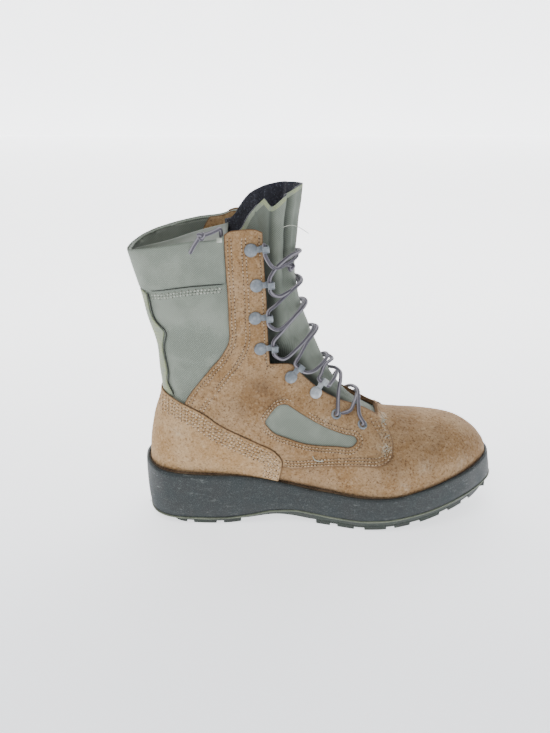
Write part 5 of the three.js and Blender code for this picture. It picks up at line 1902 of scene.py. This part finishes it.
@dataclass
class Lacing:
    """The two strands over the tongue, the knot on them and the free end over the collar."""

    last: Last
    skin: Skin
    hardware: Hardware
    tongue: Tongue
    braid: bpy.types.Material
    radius: float = 1.65
    run: float = 3.7
    stand: float = 1.8
    crossing: float = 2.4

    LEAVING = ((0.2, 0.3, 1.2), (0.5, 0.35, 0.4), (0.8, 0.15, 0.2))
    ARRIVING = ((0.8, 0.25, 0.2), (0.5, 0.6, 1.2), (0.2, 0.85, 2.2))

    def _passes(self, side: Side) -> list[list[Vector]]:
        """Where the lace passes each hook and eyelet, from the top down.

        Args:
            side: the side of the boot.

        Returns:
            Three points for each, along the lace.
        """
        hw = self.hardware
        channel = hw.lace + 2 * hw.clearance
        passes = []
        for frame in hw.frames(side):
            ends = []
            for end in (1, 0, -1):
                y = end * side.value * (hw.width / 2 + self.run * 0.7)
                ends.append(frame @ Vector((hw.reach, y, hw.metal + channel / 2)))
            passes.append(ends)
        for at, up in EYELETS:
            point, normal = self.skin.seat(at, up, side)
            passes.append([point - normal * 3.0, point + normal * 1.0, point + normal * 3.2])
        return passes

    def _nearest(self, point: Vector, side: Side) -> tuple[float, float]:
        """The place and share on the form nearest to a point of one side."""
        p, s = np.meshgrid(np.arange(6, 24, 0.2), -side.value * np.arange(0, 0.7, 0.01), indexing="ij")
        away = np.linalg.norm(self.last.point(p, s) - np.array(point), axis=-1)
        i, k = np.unravel_index(np.argmin(away), away.shape)
        return float(p[i, k]), float(s[i, k])

    def _over(self, place: float, share: float, stand: float) -> Vector:
        """A point over the tongue."""
        return Vector(self.last.grown(np.array([place]), np.array([share]), stand)[0])

    def _half(
        self, seat: tuple[float, float], middle: float, lift: float, slack: float,
        steps: Sequence[tuple[float, float, float]],
    ) -> list[Vector]:
        """The points between a hook and the middle of the tongue.

        Args:
            seat: place and share of the hook.
            middle: place where the strand crosses the middle.
            lift: how far it stands off the form there.
            slack: how far it bows up, or down where negative.
            steps: rows of (share of the way, share of the bow, distance out).

        Returns:
            The points.
        """
        place, share = seat
        points = []
        for t, bow, out in steps:
            here = place + (middle - place) * t + slack * bow
            points.append(self._over(here, share * (1 - t), self.stand + out + (lift - self.stand) * t))
        return points

    def strands(self) -> list[Array]:
        """The paths of both strands, from the toe up."""
        passes = {side: self._passes(side) for side in SIDES}
        count = len(HOOKS) + len(EYELETS)
        seats = {side: [self._nearest(points[1], side) for points in passes[side]] for side in passes}
        paths = []
        for first in (0, 1):
            route: list[Vector] = []
            for level in range(count - 1, -1, -1):
                hand = (count - 1 - level + first) % 2
                side, other = SIDES[hand], SIDES[1 - hand]
                route += passes[side][level]
                if level == 0:
                    break
                leave, arrive = seats[side][level], seats[other][level - 1]
                swing = math.sin(2.3 * level + 1.7 * first)
                middle = (leave[0] + arrive[0]) / 2 + 0.16 * swing - (0.5 if level < len(HOOKS) else 0.1)
                slack = 1.0 + 0.35 * math.sin(1.9 * level + first) if level < len(HOOKS) else 0.25
                lift = self.stand + (self.crossing if (first + level) % 2 else 0.0)
                route += self._half(leave, middle, lift, slack, self.LEAVING)
                route.append(self._over(middle, 0.0, lift))
                route += self._half(arrive, middle, lift, -slack, self.ARRIVING)
            paths.append(even_path(smooth_path(route, 12), 1.3))
        return paths

    def build(self) -> None:
        """Sweeps the strands and ties the knot in front."""
        bm = joined([sweep(path, self.radius, 12, 0.92) for path in self.strands()])
        add_piece("laces", bm, [self.braid], ["lace"])
        low, high = (np.array(v) * 1000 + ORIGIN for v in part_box("lace_knot"))
        knot = sweep(self._knot((low + high) / 2, 2.3), self.radius * 0.86, 10)
        add_piece("front_knot", knot, [self.braid], ["lace_knot"])

    @staticmethod
    def _knot(middle: Array, size: float) -> Array:
        """An overhand knot pulled tight, about a middle."""
        t = np.linspace(0, 2 * math.pi, 61)[:-3]
        x = (np.sin(t) + 2 * np.sin(2 * t)) * size / 2.6
        y = (np.cos(t) - 2 * np.cos(2 * t)) * size / 2.6
        z = -np.sin(3 * t) * size / 1.9
        return even_path(np.stack([x, z, y], axis=1) + middle, 0.9)

    def build_tail(self) -> None:
        """The free end: up inside the collar, over its edge, knotted, with a short tail."""
        rows = (
            # at, up, stand; the sixth row is the middle of the knot
            (0.237, 1.885, -4.6), (0.237, 1.94, -5), (0.234, 1.985, -1.8), (0.224, 1.982, 2.0),
            (0.206, 1.97, 3.6), (0.189, 1.96, 4.6), (0.174, 1.925, 4.8), (0.159, 1.876, 4),
        )
        route = []
        for at, up, stand in rows:
            point, normal = self.skin.seat(at, up, Side.OUTER)
            route.append(point + normal * (stand - GAP - LEATHER))
        path = smooth_path(route, 4)
        knot = sweep(self._knot(np.array(route[5]), 2.0), self.radius * 0.9, 10)
        bm = joined([sweep(even_path(path, 1.0), self.radius, 12), knot])
        piece = add_piece("lace_end", bm, [self.braid], ["lace_tail"])
        real = (path - ORIGIN) * MM
        length = float(np.linalg.norm(np.diff(real, axis=0), axis=1).sum())


@dataclass
class Stitching:
    """Raised stitches laid along edges that are seen from the side."""

    skin: Skin
    thread: bpy.types.Material
    pale: bpy.types.Material
    hole: bpy.types.Material
    bead: bpy.types.Material
    pitch: float = 2.9
    length: float = 2.1
    width: float = 1.2
    highest: float = 258.0
    flattest: float = 0.16

    def _grain(self) -> bmesh.types.BMesh:
        """One stitch: a low oval."""
        bm = bmesh.new()
        bmesh.ops.create_icosphere(bm, subdivisions=1, radius=0.5)
        bmesh.ops.scale(bm, vec=(self.length, self.width, self.width * 0.9), verts=bm.verts)
        return bm

    def row(self, line: Array, side: Side, lift: float, zigzag: float = 0.0) -> bmesh.types.BMesh:
        """Stitches along a line of x and z.

        Args:
            line: points of the line, seen from the side.
            side: the side of the boot.
            lift: how far the leather's outside stands off the skin.
            zigzag: how far every second stitch leans out.

        Returns:
            The mesh.
        """
        parts = []
        line = even_path(line, self.pitch)
        grain = bpy.data.meshes.new("grain")
        shape = self._grain()
        shape.to_mesh(grain)
        shape.free()
        for i in range(len(line) - 1):
            middle = (line[i] + line[i + 1]) / 2
            way = line[i + 1] - line[i]
            point, normal = self.skin.hit(middle[0], middle[1], side)
            strayed = math.hypot(point.x - middle[0], point.z - middle[1]) > 1.0
            if strayed or abs(normal.y) < self.flattest:
                continue
            along = Vector((way[0], 0, way[1])).normalized()
            lean = 0.0 if not zigzag else (1 if i % 2 else -1) * 0.9
            turned = along + normal.cross(along) * lean
            across = normal.cross(turned).normalized()
            forward = across.cross(normal).normalized()
            turn = Matrix((forward, across, normal)).transposed().to_4x4()
            frame = Matrix.Translation(point + normal * lift) @ turn
            stitch = bmesh.new()
            stitch.from_mesh(grain)
            bmesh.ops.transform(stitch, matrix=frame, verts=stitch.verts)
            parts.append(stitch)
            # a dark oval between stitches: painted shade in the needle hole
            pit = bmesh.new()
            pit.from_mesh(grain)
            bmesh.ops.scale(pit, vec=(0.5, 0.8, 0.5), verts=pit.verts)
            bmesh.ops.translate(pit, vec=(self.pitch * 0.5, 0, -0.12), verts=pit.verts)
            bmesh.ops.transform(pit, matrix=frame, verts=pit.verts)
            for face in pit.faces:
                face.material_index = 1
            parts.append(pit)
        bpy.data.meshes.remove(grain)
        return joined(parts)

    @staticmethod
    def inset(edge: Edge, distance: float, keep: Test) -> list[Array]:
        """Lines that run a distance inside an edge, where a test holds.

        Args:
            edge: the edge, seen from the side.
            distance: how far inside it; negative is outside.
            keep: true where the line is wanted, for points of x and z.

        Returns:
            The runs of points.
        """
        line = edge.line(1.2)
        along = np.roll(line, -2, 0) - np.roll(line, 2, 0)
        along /= np.maximum(np.linalg.norm(along, axis=1, keepdims=True), 1e-9)
        out = np.stack([-along[:, 1], along[:, 0]], axis=1)
        test = edge.depth(*(line + out * 2.0).T)
        out[test < 0] *= -1
        moved = line + out * distance
        depth = edge.depth(*moved.T)
        good = keep(moved) & (depth > distance - 0.35 if distance > 0 else depth < distance + 0.35)
        runs, run = [], []
        start = int(np.argmin(good)) if not good.all() else 0
        for i in range(len(moved)):
            k = (i + start) % len(moved)
            if good[k]:
                run.append(moved[k])
            elif run:
                runs.append(np.array(run))
                run = []
        if run:
            runs.append(np.array(run))
        return [r for r in runs if len(r) > 4]

    def _wanted(self, side: Side) -> dict[str, Test]:
        """Where each kind of seam is sewn on a side, as tests on points of x and z.

        Args:
            side: the side of the boot.

        Returns:
            The tests by the seam's name.
        """

        def under(q: Array) -> Array:
            """True under the collar's edge."""
            return COLLAR[side].depth(*q.T) < -1.5

        def sewn(q: Array) -> Array:
            """True on the leather that is clear of the throat, sole, counter and collar."""
            clear = (THROAT.depth(*q.T) < -1.2) & (q[:, 1] > SIDE.rim(q[:, 0]) + 1.5)
            return clear & (q[:, 1] < self.highest) & (COUNTER.depth(*q.T) < -1) & under(q)

        return {
            "back": lambda q: sewn(q) & (q[:, 0] < 120) & (q[:, 1] > 96),
            "front": lambda q: sewn(q) & (q[:, 0] > 122) & (VENT.depth(*q.T) < -1),
            "vent": lambda q: sewn(q) & (QUARTER.depth(*q.T) > 1),
            "throat": lambda q: under(q) & (q[:, 1] > 144) & (q[:, 0] > 90) & (q[:, 0] < 116),
            "counter": lambda q: (q[:, 1] > SIDE.rim(q[:, 0]) + 2) & (q[:, 0] > 12),
            "hem": lambda q: (q[:, 0] > 13) & (q[:, 0] < 74) & (q[:, 1] < 225),
        }

    def build(self) -> None:
        """Every visible row, one mesh for each kind of seam and side."""
        seams = {
            # piece: its thread, the rows' lift and zigzag, then (edge, distances inside it, where)
            "quarter": (self.thread, 0.3, 0.0, (
                (QUARTER, (2.6, 5.4, 13.5, 16.6), "back"), (QUARTER, (2.2, 4.6, 7.2), "front"),
                (VENT, (-2.2, -4.6), "vent"), (THROAT, (-2.6,), "throat"),
            )),
            "counter": (self.bead, 1.15, 1.0, ((COUNTER, (3.0, 5.8, 8.6, 11.4, 14.2), "counter"),)),
            "hem": (self.pale, -1.7, 1.0, ((CUFF, (-4.2, -6.6), "hem"),)),
        }
        for side in SIDES:
            wanted = self._wanted(side)
            for name, (thread, lift, zigzag, edges) in seams.items():
                rows = [
                    self.row(run, side, lift, zigzag)
                    for edge, distances, where in edges for distance in distances
                    for run in self.inset(edge, distance, wanted[where])
                ]
                add_piece(f"{name}_stitches_{side.label}", joined(rows), [thread, self.hole])


@dataclass
class Trim:
    """What lies over the seams: dark lines that paint the shadow under the cuff's hem and beside the back
    strip, the slack lining, the facing, frayed ends and loose threads.
    """

    last: Last
    skin: Skin
    suede: bpy.types.Material
    pale: bpy.types.Material
    shade: bpy.types.Material
    inner: bpy.types.Material
    fold_share: float = 0.72
    sag: float = 3.2

    def _line(
        self, rows: Sequence[tuple[float, float]], side: Side, lift: float, radius: float,
    ) -> bmesh.types.BMesh:
        """A thin line through points of x and z on one side.

        Args:
            rows: the points.
            side: the side of the boot.
            lift: from the quarters' outside.
            radius: its radius.

        Returns:
            The mesh.
        """
        flat = even_path(smooth_path([(x, 0, z) for x, z in rows], 10), 1.5)
        points = []
        for x, _, z in flat:
            point, normal = self.skin.hit(x, z, side)
            points.append(point + normal * lift)
        return sweep(np.array([tuple(p) for p in points]), radius, 8)

    def build_lines(self) -> None:
        """Dark cords: painted shadow under the cuff's hem, and a dark seam with painted shadow along the back
        strip.
        """
        hem = [(at * SOLE_LENGTH, float(side_height(up)) - 0.4) for at, up in CUFF.knots[1:4]]
        strip = [(at * SOLE_LENGTH + 0.5, float(side_height(up))) for at, up in BACK_STAY.knots[1:8]]
        for side in SIDES:
            parts = [self._line(hem, side, -1.1, 0.55), self._line(strip, side, -0.8, 0.6)]
            add_piece(f"seam_lines_{side.label}", joined(parts), [self.shade])

    def build_facing(self) -> None:
        """The leather behind the hooks, seen through the mouth."""
        patch = Edge(((0.18, 1.6), (0.18, 1.925), (0.2, 1.975), (0.25, 1.99), (0.34, 1.99), (0.34, 1.6)))
        keep = (inside(patch), below(COLLAR, 0.3))
        for side in SIDES:
            panel = Panel(
                self.last, (16, 24), side.shares(0.05, 0.95), keep, -WALL - 0.05, roll=0.6, sunk=0.1,
            )
            piece = add_piece(f"facing_{side.label}", panel.build(None, HIDE), [self.suede])
            thicken(piece, 0.6)

    def build_slack(self) -> None:
        """The loose inner layer of the collar, which has fallen in towards the far side."""
        near, far, down = (smooth_path(rows, 8) for rows in (
            [(2.5, -6, 238), (12, -17, 239), (30, -26, 243), (52, -29, 248), (78, -29.3, 252)],
            [(1.5, 0, 240), (12, -3, 243.5), (30, 4, 246.5), (50, 14, 251), (77, 24, 256)],
            [(4, 4, 230), (15, 3, 229), (32, 10, 231), (51, 20, 236), (77, 28, 243)],
        ))
        bm = bmesh.new()
        count = len(near) - 1
        bmesh.ops.create_grid(bm, x_segments=count, y_segments=24, size=1.0)
        deep = bm.verts.layers.float.new("deep")
        for vert in bm.verts:
            i = round((vert.co.x + 1) / 2 * count)
            t = (vert.co.y + 1) / 2
            up = min(t / self.fold_share, 1.0)
            over_edge = max(t - self.fold_share, 0.0) / (1 - self.fold_share)
            sag = self.sag * math.sin(math.pi * up) * math.sin(math.pi * min(i / count + 0.1, 1))
            crown = 1.2 * math.exp(-(((t - self.fold_share) / 0.07) ** 2))
            point = near[i] * (1 - up) + far[i] * up + (down[i] - far[i]) * over_edge
            vert.co = (point[0], point[1], point[2] - sag + crown)
            # painted shade on the part that folds over the edge, kept in the deep attribute that the twill
            # reads
            vert[deep] = 0.9 * over_edge
        middle = [vert for vert in bm.verts if not vert.is_boundary]
        bmesh.ops.smooth_vert(
            bm, verts=middle, factor=0.5, use_axis_x=True, use_axis_y=True, use_axis_z=True,
        )
        lay_cloth(bm, "cloth", lambda vert: (vert.co.x, vert.co.y + vert.co.z))
        rim = sweep(even_path(near + np.array([0, 0.6, 0.5]), 1.5), 0.45, 8)
        add_piece("rim_seam", rim, [self.shade])
        piece = add_piece("slack_lining", bm, [self.inner])
        thicken(piece, 0.9)

    def build_frays(self) -> None:
        """Tufts of pale fibre at the worn corners, a loop of thread and a whisker at the tongue."""
        picker = random.Random(11)
        parts = []
        tufts = ((210.5, 73.5, 30, 3.4), (211.5, 90, 22, 2.8), (214, 82, 8, 2.0), (117, 158, 6, 1.6))
        for x, z, count, size in tufts:
            for _ in range(count):
                root = (x + picker.gauss(0, size * 0.45), z + picker.gauss(0, size * 0.45))
                point, normal = self.skin.hit(*root, Side.OUTER)
                way = Vector((picker.gauss(0, 1), picker.gauss(0, 0.5), picker.gauss(0, 1)))
                way = (way - normal * way.dot(normal)).normalized()
                reach = picker.uniform(0.8, 2.0)
                bend = point + normal * 0.5 + way * reach * 0.5
                path = [point - normal * 0.2, bend, point + normal * 0.35 + way * reach]
                parts.append(sweep(smooth_path(path, 3), 0.17, 5))
        pulled = ((148.5, 69), (150, 66), (153.5, 64.3), (158, 64.8))
        loop = [self.skin.hit(x, z, Side.OUTER) for x, z in pulled]
        parts.append(sweep(smooth_path([p + n * 0.5 for p, n in loop], 6), 0.42, 6))
        whisker = [(122, -19, 262), (128, -13.5, 262.5), (134, -9, 260.5), (139.5, -7, 257), (143.5, -6, 254)]
        parts.append(sweep(smooth_path(whisker, 5), 0.28, 6))
        add_piece("loose_threads", joined(parts), [self.pale])
        point, normal = self.skin.hit(73.2, 255.5, Side.OUTER)
        tab = bmesh.new()
        bmesh.ops.create_cube(tab, size=1.0)
        bmesh.ops.scale(tab, vec=(4.2, 0.8, 3.8), verts=tab.verts)
        round_off(tab, tab.edges[:], 0.3, clamp=False)
        bmesh.ops.translate(tab, vec=point + normal * 0.2, verts=tab.verts)
        add_piece("seam_tab", tab, [self.pale])


@dataclass
class Footbed:
    """The cloth-covered insole."""

    cloth: bpy.types.Material
    start: float = 0.055
    end: float = 0.962
    inset: float = 8.5
    thickness: float = 3.2
    cupped: float = 1.6

    def build(self) -> None:
        """A sheet inside the upper, a little above the deck."""
        bm = bmesh.new()
        bmesh.ops.create_grid(bm, x_segments=90, y_segments=30, size=1.0)
        height = WALL + 2 * GAP + self.thickness + GAP
        at, outline_outer, outline_inner = zip(*OUTLINE)
        for vert in bm.verts:
            x = SOLE_LENGTH * (self.start + (self.end - self.start) * (vert.co.x + 1) / 2)
            share = x / SOLE_LENGTH
            low = -np.interp(share, at, outline_outer) * BALL_WIDTH + self.inset
            high = np.interp(share, at, outline_inner) * BALL_WIDTH - self.inset
            y = (low + high) / 2 + (high - low) / 2 * vert.co.y
            lift = self.cupped * abs(vert.co.y) ** 3
            vert.co = (x, y, float(SIDE.deck(x)) + height + lift)
        lay_cloth(bm, "cloth", lambda vert: vert.co.xy)
        thicken(add_piece("footbed", bm, [self.cloth], ["insole"]), self.thickness)


def main() -> None:
    """Builds the boot, piece by piece, round its solids."""
    logging.basicConfig(level=logging.INFO, format="%(message)s")
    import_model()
    Studio().build()
    last = Last()
    suede, twill, terry, tape = (f.material() for f in (Suede(), Twill(), Terry(), Tape()))
    skin = Skin(last, GAP + LEATHER)
    # a paler, more metallic copy of the lacquered steel, given to the lowest hook of the outer side
    brighter_steel = LacqueredSteel("brighter_steel", "#B4B9BD", "#DDE0E2", metallic=0.6)
    hardware = Hardware(skin, LacqueredSteel().material(), brighter_steel.material())
    tongue = Tongue(last, twill, terry, tape)
    lacing = Lacing(last, skin, hardware, tongue, Braid().material())
    lacing.build_tail()
    tread_rubber = Rubber("tread_rubber", "#2C362E", "#1D241F", "#737A6F", 0.3)
    parting = Rubber("parting_rubber", "#727867", "#565D4E", "#A2A896", 0.4)
    welt = Suede("welt_cowhide", "#57483A", "#7D6A55", "#362A20").material()
    sole = Sole(Rubber(), tread_rubber, parting, welt)
    sole.build_wall()
    sole.build_tread()
    paler = Suede("counter_cowhide", "#B28E64", "#D2B691", "#7A5C3E").material()
    # a darker copy of the nylon twill: painted shade for the inside of the shaft and the slack lining
    inner = Twill("shaded_inner_twill", "#757B72", "#868C82", "#4A5049").material()
    upper = Upper(last, suede, paler, twill, terry, tape, inner)
    upper.build_vamp()
    upper.build_shaft()
    upper.build_quarters()
    upper.build_counter()
    upper.build_back()
    tongue.build()
    pale_thread = Thread("pale_thread", "#D3D6CA", "#A3A899").material()
    # dark cords that paint the shadow under the cuff's hem and beside the back strip; also the dark seam at
    # the slack lining's edge
    piping_and_shadow = Thread("dark_piping_and_shadow", "#2F342C", "#22261F").material()
    trim = Trim(last, skin, suede, pale_thread, piping_and_shadow, inner)
    trim.build_lines()
    trim.build_facing()
    trim.build_slack()
    trim.build_frays()
    Footbed(terry).build()
    hardware.build()
    lacing.build()
    # painted shade in the needle holes between stitches
    pit = Thread("needle_pit_shade", "#4A3A2A", "#2E241B").material()
    bead = Thread("counter_thread", "#E2CFB2", "#BCA182").material()
    Stitching(skin, Thread().material(), pale_thread, pit, bead).build()


if __name__ == "__main__":
    main()
